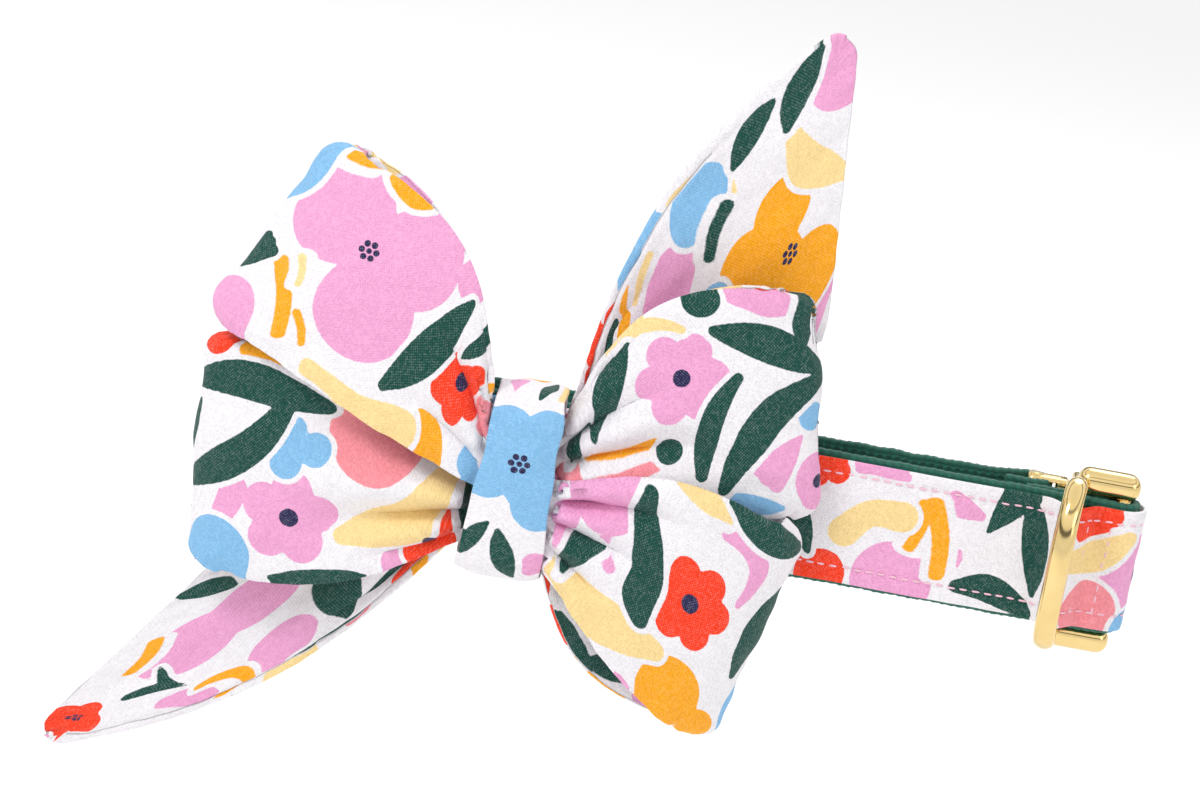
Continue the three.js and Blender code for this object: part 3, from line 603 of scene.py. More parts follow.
def tail_run(name):
    tail = TAILS[name]
    side = tail["side"]
    t = np.linspace(0, 1, LOOP_STEPS - 40)[:, None]
    v = np.linspace(0, 1, ACROSS)[None, :]
    root_high = (side * ROOT_X, tail["root_high"])
    root_low = (side * ROOT_X, tail["root_low"])
    high_x, high_z = edge_line(root_high, tail["end_high"], tail["swell_high"], side, t)
    low_x, low_z = edge_line(root_low, tail["end_low"], tail["swell_low"], -side, t)
    x, z = lerp(low_x, high_x, v), lerp(low_z, high_z, v)
    end = np.subtract(tail["end_high"], tail["end_low"])
    end_length = math.hypot(*end)
    tip_is_high = tail["end_high"][1] ** 2 > tail["end_low"][1] ** 2
    to_tip = (1 - v if tip_is_high else v) * end_length
    to_heel = end_length - to_tip
    width = np.hypot(high_x - low_x, high_z - low_z)
    pull = corner_loss(to_heel, HEEL_ROUND)
    back_x, back_z = lerp(root_low[0], root_high[0], v) - x, lerp(root_low[1], root_high[1], v) - z
    back = np.maximum(np.hypot(back_x, back_z), 1)
    x, z = x + back_x / back * pull * t ** 6, z + back_z / back * pull * t ** 6
    edge_x, edge_z = (high_x, high_z) if tip_is_high else (low_x, low_z)
    tip = np.array([edge_x[-1, 0], edge_z[-1, 0]])
    inward = np.array([edge_x[-20, 0], edge_z[-20, 0]]) - tip
    x, z = rounded_tip(x, z, tip, unit(inward), unit(-end if tip_is_high else end), tail["tip_round"])
    crown = 1 - (2 * v - 1) ** 2
    y = lerp(tail["root_y"], lerp(tail["end_low_y"], tail["end_high_y"], v), t ** 0.8)
    y = y - tail["puff"] * crown + 0.8 * gathered(GATHERS[name], v, t) * (1 - t)
    points = placed_on_bow(x, y, z)
    middle = points[:, ACROSS // 2]
    along = np.concatenate([[0], np.cumsum(np.linalg.norm(np.diff(middle, axis=0), axis=1))])
    outward = np.zeros((len(middle), 3))
    outward[:, 1] = -1
    return Strip(points, along[:, None] + 0 * v, (v - 0.5) * width, width, outward[:, None, :])


def joined_strip(first, second):
    """One band out of two runs that meet at the knot; the second is taken from its far end."""
    second = second.backwards()
    parts = ("points", "along", "across", "width", "outward")
    return Strip(*(np.concatenate([getattr(first, part), getattr(second, part)], 0) for part in parts))


def edge_distance(strip):
    return strip.width / 2 - np.abs(strip.across)


def wrinkled(strip, ring, seed_shift, strength=1.0):
    """Adds soft waves, small creases and puckered edges along the middle surface's own normal."""
    points = strip.points
    along = (np.roll(points, -1, 0) - np.roll(points, 1, 0)) if ring else np.gradient(points, axis=0)
    normal = unit(np.cross(along, np.gradient(points, axis=1)))
    facing = np.sign((normal * strip.outward).sum(-1, keepdims=True))
    normal = normal * np.where(facing == 0, 1, facing)
    s, b = strip.along + seed_shift, strip.across
    edge = edge_distance(strip)
    lift = 0.42 * broad_waves(s, b) + 0.1 * small_waves(s * 0.7, b)
    lift = lift + 0.26 * edge_waves(s, b * 0.2) * bell(edge, 2.6)
    return points + normal * (lift * strength)[..., None]


def wall_half(strip, seam=0.0):
    """Half the band's thickness: fuller over the turned seam inside each edge, drawn in where it rolls."""
    edge = edge_distance(strip)
    fuller = 0.22 * bell(edge - 3.0, 2.2)
    return CLOTH_HALF + fuller - 0.1 * bell(edge, 0.8) - seam * bell(edge - SEAM_ROLL, 0.5)


# ---------------------------------------------------------------- knot and keeper
KNOT_ROUND = 0.55
KNOT_ROWS = 240
KNOT_RISE = 0.7
KNOT_SLANT = 0.06
KNOT_COLUMNS = 36
KNOT_FOOT_WIDTH = 15.2
KNOT_TOP_WIDTH = 12.4
KNOT_STEP = 0.42


def knot_run():
    """The band round the bow's middle, a little narrower at its top than at its foot."""
    centre_y = (KNOT_LOW[1] + KNOT_HIGH[1]) / 2
    half_depth = KNOT_SIZE[1] / 2 - CLOTH_HALF
    half_height = KNOT_SIZE[2] / 2 - CLOTH_HALF
    angle = np.linspace(0, 2 * math.pi, KNOT_ROWS, endpoint=False)
    c, s = np.cos(angle), np.sin(angle)
    depth = np.sign(c) * np.abs(c) ** KNOT_ROUND
    height = np.sign(s) * np.abs(s) ** KNOT_ROUND
    loop = np.stack([centre_y - half_depth * depth, half_height * height], 1)
    loop = resample(np.concatenate([loop, loop[:1]]), KNOT_STEP)[:-1]
    steps = np.linalg.norm(np.diff(np.concatenate([loop, loop[:1]]), axis=0), axis=1)
    along = np.concatenate([[0], np.cumsum(steps)[:-1]])
    total = steps.sum()
    along = np.where(along > total / 2, along - total, along)
    width = lerp(KNOT_FOOT_WIDTH, KNOT_TOP_WIDTH, smooth(loop[:, 1] / half_height * 0.5 + 0.5))
    v = np.linspace(-0.5, 0.5, KNOT_COLUMNS)
    across = width[:, None] * v[None, :]
    tangent = np.roll(loop, -1, 0) - np.roll(loop, 1, 0)
    out = unit(np.stack([tangent[:, 1], -tangent[:, 0]], 1))
    centre = np.array([centre_y, 0])
    out = out * np.sign((out * (loop - centre)).sum(1, keepdims=True))
    swell = 0.5 * np.cos(2 * math.pi * v) * 0.8
    waves = 0.25 * broad_waves(along[:, None], across * 2) + 0.13 * small_waves(along[:, None], across)
    lift = swell[None, :] + waves
    y = loop[:, None, 0] + out[:, None, 0] * lift
    z = loop[:, None, 1] + out[:, None, 1] * lift + KNOT_RISE + KNOT_SLANT * across
    x = across + 0.25 * small_waves(along[:, None] * 0.6, across * 0.2)
    points = placed_on_bow(x, y, z)
    outward = np.zeros((len(loop), 1, 3))
    outward[:, 0, 1:] = out
    return Strip(points, along[:, None] + 0 * across, across, width[:, None] + 0 * across, outward)


# ---------------------------------------------------------------- strap
NECK_HALF = 3.2
WEB_THICK = 1.8
COVER_THICK = 1.0
PLY_GAP = 0.3
BAR_RADIUS = 1.5
WEB_MID = NECK_HALF + WEB_THICK / 2
COVER_MID = NECK_HALF + WEB_THICK + PLY_GAP + COVER_THICK / 2
COVER_OUTER = COVER_MID + COVER_THICK / 2
WEB_TURN = BAR_RADIUS + PLY_GAP + WEB_THICK / 2
COVER_TURN = WEB_TURN + WEB_THICK / 2 + PLY_GAP + COVER_THICK / 2
SOCKET_BAR = np.array([COVER_HIGH[0] - COVER_TURN - COVER_THICK / 2, WEB_TURN - WEB_MID])
LEFT_CENTRE = np.array([COVER_LOW[0] + COVER_OUTER, 0])
PLUG_BAR = np.array([70.0, 4.4])
CHANNEL_HALF = 5.4
CHANNEL_RISE = 4.2
TAIL_END = 68.0
PINCH = 5.0
STRAP_STEP = 0.62
STRAIGHT_FROM = 60
PLUG_RUN_IN = 12
COVER_SHORT = 12.5
PLUG_FLAP = 6
WEB_WRAP = 78
COVER_WRAP = 80


def arc(centre, radius, start, end):
    turns = np.radians(np.arange(start, end + math.copysign(1, end - start), math.copysign(4, end - start)))
    return np.stack([centre[0] + radius * np.cos(turns), centre[1] + radius * np.sin(turns)], 1)


def crossing(start, end):
    t = np.linspace(0.05, 1, 20)
    return np.stack([lerp(start[0], end[0], t), lerp(start[1], end[1], smooth(t))], 1)


def channel():
    x = RING_PIN[0] - np.linspace(-1, 1, 41) * CHANNEL_HALF
    away = np.abs(x - RING_PIN[0]) / CHANNEL_HALF
    return np.stack([x, -COVER_MID - CHANNEL_RISE * (1 + np.cos(math.pi * away)) / 2], 1)


def webbing_path():
    tail_y = -WEB_MID + WEB_THICK + PLY_GAP
    start = np.array([SOCKET_BAR[0] - PINCH, tail_y])
    plug_start = np.array([PLUG_BAR[0] - PLUG_RUN_IN, WEB_MID])
    return np.concatenate([
        [[TAIL_END, tail_y]], [start], crossing(start, SOCKET_BAR + [0, WEB_TURN]),
        arc(SOCKET_BAR, WEB_TURN, WEB_WRAP, -90), [[STRAIGHT_FROM, -WEB_MID]], [[BOW[0], -WEB_MID]],
        arc(LEFT_CENTRE, WEB_MID, -90, -270), [[BOW[0], WEB_MID]], [plug_start],
        crossing(plug_start, PLUG_BAR + [0, WEB_TURN]), arc(PLUG_BAR, WEB_TURN, WEB_WRAP, -90),
        [[PLUG_BAR[0] - PLUG_FLAP, PLUG_BAR[1] - WEB_TURN]]])


def cover_path():
    tail_y = -WEB_MID + 1.5 * WEB_THICK + 2 * PLY_GAP + COVER_THICK / 2
    start = np.array([SOCKET_BAR[0] - PINCH - 0.5, tail_y])
    return np.concatenate([
        [[TAIL_END + 1, tail_y]], [start], crossing(start, SOCKET_BAR + [0, COVER_TURN]),
        arc(SOCKET_BAR, COVER_TURN, COVER_WRAP, -90), channel(), [[STRAIGHT_FROM, -COVER_MID]],
        [[BOW[0], -COVER_MID]],
        arc(LEFT_CENTRE, COVER_MID, -90, -270), [[BOW[0], COVER_MID]],
        [[PLUG_BAR[0] - COVER_SHORT, COVER_MID]]])


def strap_run(path, width, columns):
    """A flat strap, standing on its edge along a path drawn in plan."""
    path = resample(path, STRAP_STEP)
    tangent = unit(np.gradient(path, axis=0))
    out = np.stack([-tangent[:, 1], tangent[:, 0]], 1)
    length = np.concatenate([[0], np.cumsum(np.linalg.norm(np.diff(path, axis=0), axis=1))])
    z = np.linspace(-0.5, 0.5, columns) * width
    points = np.zeros((len(path), columns, 3))
    points[:, :, :2] = path[:, None, :]
    points[:, :, 2] = z[None, :]
    outward = np.zeros((len(path), 1, 3))
    outward[:, 0, :2] = out
    along, across = length[:, None] + 0 * z, 0 * length[:, None] + z
    return Strip(points, along, across, width + 0 * points[..., 0], outward)


STITCH_TOP = 2.4
STITCH_FOOT = 3.0
STITCH_PITCH = 2.35
STITCH_LENGTH = 1.55
STITCH_THICK = 0.17
STITCH_SUNK = 0.06
STITCHED_FROM = 26.0
STITCHED_TO = 330.0


def stitch_groove(strip, rows):
    """How deep the cover is drawn in along its stitch rows, more where the needle went through."""
    depth = 0 * strip.across
    for row in rows:
        dip = 0.12 + 0.12 * np.cos(2 * math.pi * strip.along / STITCH_PITCH) ** 2
        depth = depth + dip * bell(strip.across - row, 0.7)
    return depth


# ---------------------------------------------------------------- stitches
def capsule_rings(length, thick):
    """Half profile of one thread dash: places along it and radii there."""
    along = np.array([-0.5, -0.46, -0.3, 0, 0.3, 0.46, 0.5]) * length
    radius = np.array([0.05, 0.55, 0.95, 1.05, 0.95, 0.55, 0.05]) * thick
    return along, radius


def stitch_mesh(name, dashes):
    """One mesh of thread dashes: each is (middle, direction, up)."""
    along, radius = capsule_rings(STITCH_LENGTH, STITCH_THICK)
    sides = 8
    turns = 2 * math.pi * np.arange(sides) / sides
    points, faces = [], []
    for middle, direction, up in dashes:
        aside = np.cross(direction, up)
        start = len(points)
        for at, r in zip(along, radius):
            sink = -0.35 * STITCH_THICK * (2 * at / STITCH_LENGTH) ** 4
            for turn in turns:
                offset = aside * math.cos(turn) * r * 1.25 + up * (math.sin(turn) * r + sink)
                points.append(middle + direction * at + offset)
        for ring in range(len(along) - 1):
            for k in range(sides):
                a, b = start + ring * sides + k, start + ring * sides + (k + 1) % sides
                faces.append([a, b, b + sides, a + sides])
        faces.append([start + k for k in range(sides)][::-1])
        faces.append([start + (len(along) - 1) * sides + k for k in range(sides)])
    return make_object(name, np.array(points), faces)


def strap_dashes(cover, path_rows):
    """Dashes along rows of the cover at the given heights, on its outer face."""
    dashes = []
    length = cover.along[:, 0]
    middle = cover.points[:, 0, :2]
    out = cover.outward[:, 0, :2]
    rng = np.random.default_rng(5)
    for height, start, end in path_rows:
        for at in np.arange(start, end, STITCH_PITCH):
            jitter = rng.uniform(-0.12, 0.12, 2)
            s = at + jitter[0]
            place = np.array([np.interp(s, length, middle[:, k]) for k in (0, 1)])
            ahead = np.array([np.interp(s + 0.5, length, middle[:, k]) for k in (0, 1)])
            normal = unit(np.array([np.interp(s, length, out[:, k]) for k in (0, 1)]))
            lift = COVER_THICK / 2 - STITCH_SUNK
            centre = np.array([*(place + normal * lift), height + jitter[1] * 0.6])
            direction = unit(np.array([*(ahead - place), jitter[0] * 0.12]))
            dashes.append((centre, direction, np.array([*normal, 0.0])))
    return dashes


CROSS_ROWS = (80.6, 85.2)
CROSS_HALF = 8.6


def cross_dashes():
    """The two rows across the strap that close the D-ring's channel and the fold round the buckle bar."""
    dashes = []
    rng = np.random.default_rng(9)
    for x in CROSS_ROWS:
        away = min(abs(x - RING_PIN[0]) / CHANNEL_HALF, 1)
        y = -COVER_OUTER - CHANNEL_RISE * (1 + math.cos(math.pi * away)) / 2 + STITCH_SUNK
        slope = CHANNEL_RISE / 2 * math.sin(math.pi * away) * math.pi / CHANNEL_HALF if away < 1 else 0.0
        up = unit(np.array([slope, -1.0, 0.0]))
        for z in np.arange(-CROSS_HALF, CROSS_HALF, STITCH_PITCH):
            centre = np.array([x + rng.uniform(-0.15, 0.15), y, z])
            dashes.append((centre, np.array([0.0, 0.0, 1.0]), up))
    return dashes


# ---------------------------------------------------------------- hardware
def rounded_block(low, high, radius, cuts=10):
    """Points and faces of a block whose every edge and corner is a ball of this radius."""
    low, high = np.array(low, float), np.array(high, float)
    centre, half = (low + high) / 2, (high - low) / 2
    grid = np.sin(np.linspace(-0.5, 0.5, cuts + 1) * math.pi)
    points, faces = [], []
    for axis in range(3):
        for sign in (-1, 1):
            start = len(points)
            first, second = (axis + 1) % 3, (axis + 2) % 3
            for a in grid:
                for b in grid:
                    q = np.zeros(3)
                    q[axis], q[first], q[second] = sign, a, b
                    q = q * half
                    core = np.clip(q, -(half - radius), half - radius)
                    points.append(centre + core + radius * unit(q - core))
            for i in range(cuts):
                for j in range(cuts):
                    a = start + i * (cuts + 1) + j
                    quad = [a, a + cuts + 1, a + cuts + 2, a + 1]
                    faces.append(quad if sign > 0 else quad[::-1])
    return np.array(points), faces


def rod(x, y, half, radius, sides=28):
    turns = 2 * math.pi * np.arange(sides) / sides
    points, faces = [], []
    for z in (-half, half):
        points += [[x + radius * math.cos(a), y + radius * math.sin(a), z] for a in turns]
    for k in range(sides):
        n = (k + 1) % sides
        faces.append([k, n, sides + n, sides + k])
    faces.append(list(range(sides))[::-1])
    faces.append(list(range(sides, 2 * sides)))
    return np.array(points), faces


def joined(name, parts):
    points, faces, start = [], [], 0
    for part_points, part_faces in parts:
        points.append(part_points)
        faces += [[k + start for k in face] for face in part_faces]
        start += len(part_points)
    piece = make_object(name, np.concatenate(points), faces)
    weld = piece.modifiers.new("weld", "WELD")
    weld.merge_threshold = 1e-6
    return piece


CHEEK_BOTTOM = 13.2
CHEEK_X = (77.6, 90.0)
CHEEK_Y = (-3.7, 2.1)
PLATE = ((77.0, 0.7, -15.4), (81.3, 6.0, 15.4))
FRAME_X = (68.4, 76.7)
FRAME_Y = (2.3, 6.3)
FRAME_TOP = 13.9
FRAME_SLOT = 13.1
FRAME_BACK = 74.0
TONGUE = ((75.0, 2.4, -9.5), (80.3, 4.4, 9.5))
CHEEK_ROUND = 2.35
FRAME_ROUND = 0.9
TONGUE_ROUND = 0.7


def socket_parts():
    top = SOCKET_HIGH[2]
    parts = []
    for sign in (-1, 1):
        corners = sorted([sign * CHEEK_BOTTOM, sign * top])
        parts.append(rounded_block((CHEEK_X[0], CHEEK_Y[0], corners[0]),
                                   (CHEEK_X[1], CHEEK_Y[1], corners[1]), CHEEK_ROUND, 16))
    parts.append(rounded_block(*PLATE, FRAME_ROUND))
    parts.append(rod(SOCKET_BAR[0], SOCKET_BAR[1], CHEEK_BOTTOM + 2.5, BAR_RADIUS))
    return parts


def plug_parts():
    parts = []
    for sign in (-1, 1):
        ends = sorted([sign * FRAME_SLOT, sign * FRAME_TOP])
        parts.append(rounded_block((FRAME_X[0], FRAME_Y[0], ends[0]),
                                   (FRAME_X[1], FRAME_Y[1], ends[1]), FRAME_ROUND))
    parts.append(rounded_block((FRAME_BACK, FRAME_Y[0], -FRAME_TOP),
                               (FRAME_X[1], FRAME_Y[1], FRAME_TOP), FRAME_ROUND))
    parts.append(rounded_block(*TONGUE, TONGUE_ROUND))
    parts.append(rod(PLUG_BAR[0], PLUG_BAR[1], FRAME_SLOT + 0.9, BAR_RADIUS))
    return parts


RING_WIRE = 1.8
RING_HALF = 16.2
RING_REACH = 12.5
RING_CORNER = 3.5
RING_LEAN = 9.0
RING_FLAT = 2.15
RING_THIN = 1.6
RING_STEP = 0.6
RING_EASINGS = 14


def ring_mesh():
    """The D-ring: a straight bar in the strap's channel and a bowed front, in slightly flattened wire."""
    bar = [(0, z * (RING_HALF - RING_CORNER)) for z in np.linspace(-1, 1, 9)]
    ease = 0.3 * RING_CORNER
    angle = np.linspace(0, math.pi, 25)
    front_z = RING_HALF * np.sign(np.cos(angle)) * np.abs(np.cos(angle)) ** 0.8
    front_y = -RING_CORNER - (RING_REACH - RING_CORNER) * np.sin(angle) ** 0.9
    points = bar + [(-ease, RING_HALF - ease)] + list(zip(front_y, front_z)) + [(-ease, -RING_HALF + ease)]
    loop = resample(np.array(points + points[:1]), RING_STEP)[:-1]
    for _ in range(RING_EASINGS):
        loop = (np.roll(loop, 1, 0) + 2 * loop + np.roll(loop, -1, 0)) / 4
    tangent = unit(np.roll(loop, -1, 0) - np.roll(loop, 1, 0))
    aside = np.stack([-tangent[:, 1], tangent[:, 0]], 1)
    turns = 2 * math.pi * np.arange(28) / 28
    on_bar = bell(loop[:, 0] / 3.0, 1.0)
    flat = lerp(RING_FLAT, RING_WIRE, on_bar)
    thick = lerp(RING_THIN, RING_WIRE, on_bar)
    y = loop[:, None, 0] + aside[:, None, 0] * np.sin(turns) * thick[:, None]
    z = loop[:, None, 1] + aside[:, None, 1] * np.sin(turns) * thick[:, None]
    x = np.cos(turns)[None, :] * flat[:, None]
    lean = math.radians(RING_LEAN)
    c, s = math.cos(lean), math.sin(lean)
    place = np.stack([x * c + y * s, y * c - x * s, z], -1)
    faces = lattice_faces(len(loop), len(turns), True, True)
    return make_object("d_ring_gold", place + RING_PIN, faces)


# ---------------------------------------------------------------- finishes
def paint(red, green, blue):
    """A colour as seen, 0 to 255, as the linear light that a shader takes."""
    def linear(c):
        c = c / 255
        return c / 12.92 if c <= 0.04045 else ((c + 0.055) / 1.055) ** 2.4
    return (linear(red), linear(green), linear(blue), 1.0)


class Value:
    """A number that varies over a surface; sums and products of it add the nodes they need."""

    def __init__(self, finish, socket):
        self.finish = finish
        self.socket = socket

    def combine(self, operation, first, second):
        return self.finish.node("ShaderNodeMath", {"operation": operation}, {0: first, 1: second})

    def __add__(self, other):
        return self.combine("ADD", self, other)

    def __radd__(self, other):
        return self.combine("ADD", other, self)

    def __sub__(self, other):
        return self.combine("SUBTRACT", self, other)

    def __rsub__(self, other):
        return self.combine("SUBTRACT", other, self)

    def __mul__(self, other):
        return self.combine("MULTIPLY", self, other)

    def __rmul__(self, other):
        return self.combine("MULTIPLY", other, self)

    def __truediv__(self, other):
        return self.combine("DIVIDE", self, other)

    def maths(self, operation, other=0.0):
        return self.combine(operation, self, other)

    def clamped(self):
        settings = {"operation": "ADD", "use_clamp": True}
        return self.finish.node("ShaderNodeMath", settings, {0: self, 1: 0.0})


class Finish:
    """A material under construction."""

    def __init__(self, name):
        self.material = bpy.data.materials.new(name)
        self.material.use_nodes = True
        self.tree = self.material.node_tree
        self.shader = self.tree.nodes["Principled BSDF"]

    def fill(self, socket, value):
        if isinstance(value, Value):
            self.tree.links.new(value.socket, socket)
        elif isinstance(value, bpy.types.NodeSocket):
            self.tree.links.new(value, socket)
        else:
            socket.default_value = value

    def node(self, kind, settings=None, inputs=None, output=0):
        made = self.tree.nodes.new(kind)
        for name, value in (settings or {}).items():
            setattr(made, name, value)
        for name, value in (inputs or {}).items():
            self.fill(made.inputs[name], value)
        return Value(self, made.outputs[output])

    def attribute(self, name, output="Fac"):
        return self.node("ShaderNodeAttribute", {"attribute_name": name}, {}, output)

    def noise(self, place, size, detail=2.0, roughness=0.5, distortion=0.0):
        inputs = {"Vector": place, "Scale": 1.0 / size, "Detail": detail}
        inputs.update({"Roughness": roughness, "Distortion": distortion})
        return self.node("ShaderNodeTexNoise", {}, inputs, "Fac")

    def stretched(self, place, factors):
        settings = {"operation": "MULTIPLY"}
        return self.node("ShaderNodeVectorMath", settings, {0: place, 1: factors}, "Vector")

    def split(self, place):
        made = self.tree.nodes.new("ShaderNodeSeparateXYZ")
        self.fill(made.inputs[0], place)
        return [Value(self, made.outputs[k]) for k in range(3)]

    def mix(self, factor, first, second, blend="MIX"):
        made = self.tree.nodes.new("ShaderNodeMix")
        made.data_type = "RGBA"
        made.blend_type = blend
        self.fill(made.inputs[0], factor)
        self.fill(made.inputs[6], first)
        self.fill(made.inputs[7], second)
        return Value(self, made.outputs[2])

    def bump(self, height, strength=1.0):
        """height is in millimetres."""
        inputs = {"Height": height, "Distance": MM, "Strength": strength}
        self.fill(self.shader.inputs["Normal"], self.node("ShaderNodeBump", {}, inputs, "Normal"))

    def set(self, **values):
        for name, value in values.items():
            self.fill(self.shader.inputs[name.replace("_", " ").title()], value)
        return self.material


PRINT_PAINTS = {
    "ground": paint(236, 233, 237),
    "pink": paint(232, 160, 203),
    "salmon": paint(241, 142, 152),
    "red": paint(246, 58, 16),
    "orange": paint(248, 166, 8),
    "yellow": paint(244, 214, 148),
    "blue": paint(128, 184, 226),
    "green": paint(2, 70, 60),
    "navy": paint(34, 32, 76),
}
ROSETTE_DOTS = 6
ROSETTE_REACH = 1.45
ROSETTE_DOT = 0.68
ROSETTE_HEART = 0.6
THREAD_PITCH = 0.62


def woven_height(finish, place, pitch):
    """Plain weave: threads over and under each other."""
    x, y, _ = finish.split(place)
    warp = (x * (2 * math.pi / pitch)).maths("SINE")
    weft = (y * (2 * math.pi / pitch)).maths("SINE")
    return warp * weft


def printed_cotton(name):
    """Crinkled plain-weave cotton with a flat print whose edges are crisp and slightly ragged, a painted
    shadow along the seam of a rolled edge, and painted highlight and painted shade on its crinkles and
    threads.
    """
    finish = Finish(name)
    place = finish.attribute("cloth", "Vector")
    rag = (finish.noise(place, 0.9, 2.0) - 0.5) * 0.24
    colour = PRINT_PAINTS["ground"]
    for tint in PRINT_COLOURS:
        distance = finish.attribute("ink_" + tint)
        mask = ((rag - distance) / 0.16 + 0.5).clamped()
        colour = finish.mix(mask, colour, PRINT_PAINTS[tint])
    spot_x, spot_y, spot_z = finish.split(finish.attribute("rosette", "Vector"))
    turn = spot_y.maths("ARCTAN2", spot_x)
    sector = 2 * math.pi / ROSETTE_DOTS
    wrapped = (turn / sector).maths("FRACT") * sector - sector / 2
    reach = ((spot_x * spot_x) + (spot_y * spot_y)).maths("SQRT")
    dot_x = reach * wrapped.maths("COSINE") - ROSETTE_REACH
    dot_y = reach * wrapped.maths("SINE")
    dot = ((dot_x * dot_x) + (dot_y * dot_y)).maths("SQRT")
    ring = ((ROSETTE_DOT + rag * 0.3 - dot) / 0.12).clamped()
    heart = ((ROSETTE_HEART + rag * 0.3 - reach) / 0.12).clamped()
    colour = finish.mix(ring.maths("MAXIMUM", heart), colour, PRINT_PAINTS["navy"])
    # Painted shadow: a dark line along the seam of a rolled edge, standing in for the shade in the crease
    # between the two edges; the seam attribute is the distance to that line.
    seam = finish.attribute("seam").maths("ABSOLUTE")
    colour = finish.mix((1.0 - seam / 0.36).clamped() * 0.55, colour, paint(70, 56, 70))
    swirl = finish.noise(finish.stretched(place, (1.0, 0.8, 1.0)), 1.3, 1.5, 0.5, 0.6)
    worm = 0.5 + 0.5 * ((swirl * 30).maths("SINE"))
    patch = finish.noise(place, 3.5, 2.0)
    worm = worm * (0.5 + patch * 0.7)
    fine = finish.noise(finish.stretched(place, (0.5, 1.0, 1.0)), 0.26, 2.0, 0.6)
    fleck = finish.noise(finish.stretched(place, (1.0, 0.4, 1.0)), 0.3, 2.0, 0.6)
    thread = woven_height(finish, place, THREAD_PITCH)
    grain = (fine - 0.5) * 0.5 + (fleck - 0.5) * 0.5
    # Painted highlight and painted shade: pale lightens the crinkles, grain and threads where the bump
    # below raises them, and shade darkens them where it lowers them; the grain also adds some random tone
    # of the yarn.
    pale = ((worm - 0.5) * 0.1 + grain * 0.42 + thread * 0.09).clamped()
    colour = finish.mix(pale, colour, paint(252, 250, 250))
    shade = ((0.36 - worm) * 0.26 - grain * 0.55 - thread * 0.1 + 0.02).clamped()
    colour = finish.mix(shade, colour, finish.mix(1.0, colour, paint(150, 140, 155), "MULTIPLY"))
    broad = finish.noise(place, 9.0, 2.0)
    height = worm * 0.06 + grain * 0.12 + thread * 0.035
    finish.bump(height + (broad - 0.5) * 0.5, 0.85)
    finish.set(base_color=colour, roughness=0.82 + (fine - 0.5) * 0.2)
    finish.shader.inputs["Specular IOR Level"].default_value = 0.25
    finish.shader.inputs["Sheen Weight"].default_value = 0.12
    finish.shader.inputs["Sheen Roughness"].default_value = 0.5
    return finish.material


def ribbed_webbing(name, dark, light, rib, rows):
    """Tight woven tape: raised ribs across it, broken into small stitches of yarn along it, with painted
    highlight on their tops and painted shade between them.
    """
    finish = Finish(name)
    place = finish.attribute("cloth", "Vector")
    x, y, _ = finish.split(place)
    stray = (finish.noise(place, 1.1, 2.0) - 0.5) * 0.9
    ribs = ((x + stray * 0.2) * (2 * math.pi / rib)).maths("SINE")
    yarns = ((y + stray * 0.12) * (2 * math.pi / rows) + ribs * 0.7).maths("SINE")
    fuzz = finish.noise(finish.stretched(place, (1.0, 0.35, 1.0)), 0.2, 3.0, 0.65)
    # Painted highlight and painted shade: ribs and yarns are painted lighter where the bump below raises
    # them and darker in the grooves between; the fuzz adds random tone.
    tone = (ribs * 0.22 + yarns * 0.16 + (fuzz - 0.5) * 1.2 + 0.5).clamped()
    colour = finish.mix(tone, dark, light)
    finish.bump(ribs * 0.12 + yarns * 0.07 + (fuzz - 0.5) * 0.12, 0.9)
    finish.set(base_color=colour, roughness=0.68 + (fuzz - 0.5) * 0.3)
    finish.shader.inputs["Sheen Weight"].default_value = 0.15
    return finish.material


def twisted_thread(name, tint, shade):
    finish = Finish(name)
    place = finish.node("ShaderNodeTexCoord", {}, {}, "Object")
    place = finish.stretched(place, (1000.0, 1000.0, 1000.0))
    fibre = finish.noise(place, 0.14, 2.0)
    finish.bump((fibre - 0.5) * 0.08, 0.8)
    return finish.set(base_color=finish.mix(fibre, shade, tint), roughness=0.6 + (fibre - 0.5) * 0.2)


def polished_gold(name):
    """Plated metal, mirror bright with faint handling haze and hairlines."""
    finish = Finish(name)
    place = finish.node("ShaderNodeTexCoord", {}, {}, "Object")
    place = finish.stretched(place, (1000.0, 1000.0, 1000.0))
    haze = finish.noise(place, 5.0, 3.0)
    hairline = finish.noise(finish.stretched(place, (1.0, 1.0, 0.06)), 0.12, 2.0)
    colour = finish.mix(haze, paint(226, 194, 126), paint(240, 216, 158))
    finish.bump((haze - 0.5) * 0.03 + (hairline - 0.5) * 0.002, 0.5)
    roughness = 0.09 + haze * 0.06 + (hairline - 0.5) * 0.03
    return finish.set(base_color=colour, metallic=1.0, roughness=roughness)


COTTON = printed_cotton("printed cotton")
GREEN_WEBBING = ribbed_webbing("green webbing", paint(4, 62, 50), paint(20, 112, 92), 1.7, 1.1)
WHITE_ELASTIC = ribbed_webbing("white elastic", paint(214, 210, 204), paint(246, 244, 240), 1.2, 0.8)
PINK_THREAD = twisted_thread("pink thread", paint(250, 214, 226), paint(222, 164, 186))
GOLD = polished_gold("polished gold")


def dress(piece, material, body="collar"):
    piece.data.materials.clear()
    piece.data.materials.append(material)
    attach(piece, body)
    return piece


# ---------------------------------------------------------------- putting the print on a band
def nearest_rosette(x, y, chart):
    """Offset to the nearest charted ring of dots, or far away where there is none."""
    offset = np.full(x.shape + (3,), 9.0)
    nearest = np.full(x.shape, 1e3)
    for row in chart:
        _, _, at_x, at_y, size, turn = row[:6]
        away = np.hypot(x - at_x, y - at_y)
        near = away < nearest
        nearest = np.minimum(nearest, away)
        a = math.radians(turn)
        turned_x = ((x - at_x) * math.cos(a) + (y - at_y) * math.sin(a)) / size
        turned_y = (-(x - at_x) * math.sin(a) + (y - at_y) * math.cos(a)) / size
        offset[..., 0] = np.where(near, turned_x, offset[..., 0])
        offset[..., 1] = np.where(near, turned_y, offset[..., 1])
    return offset


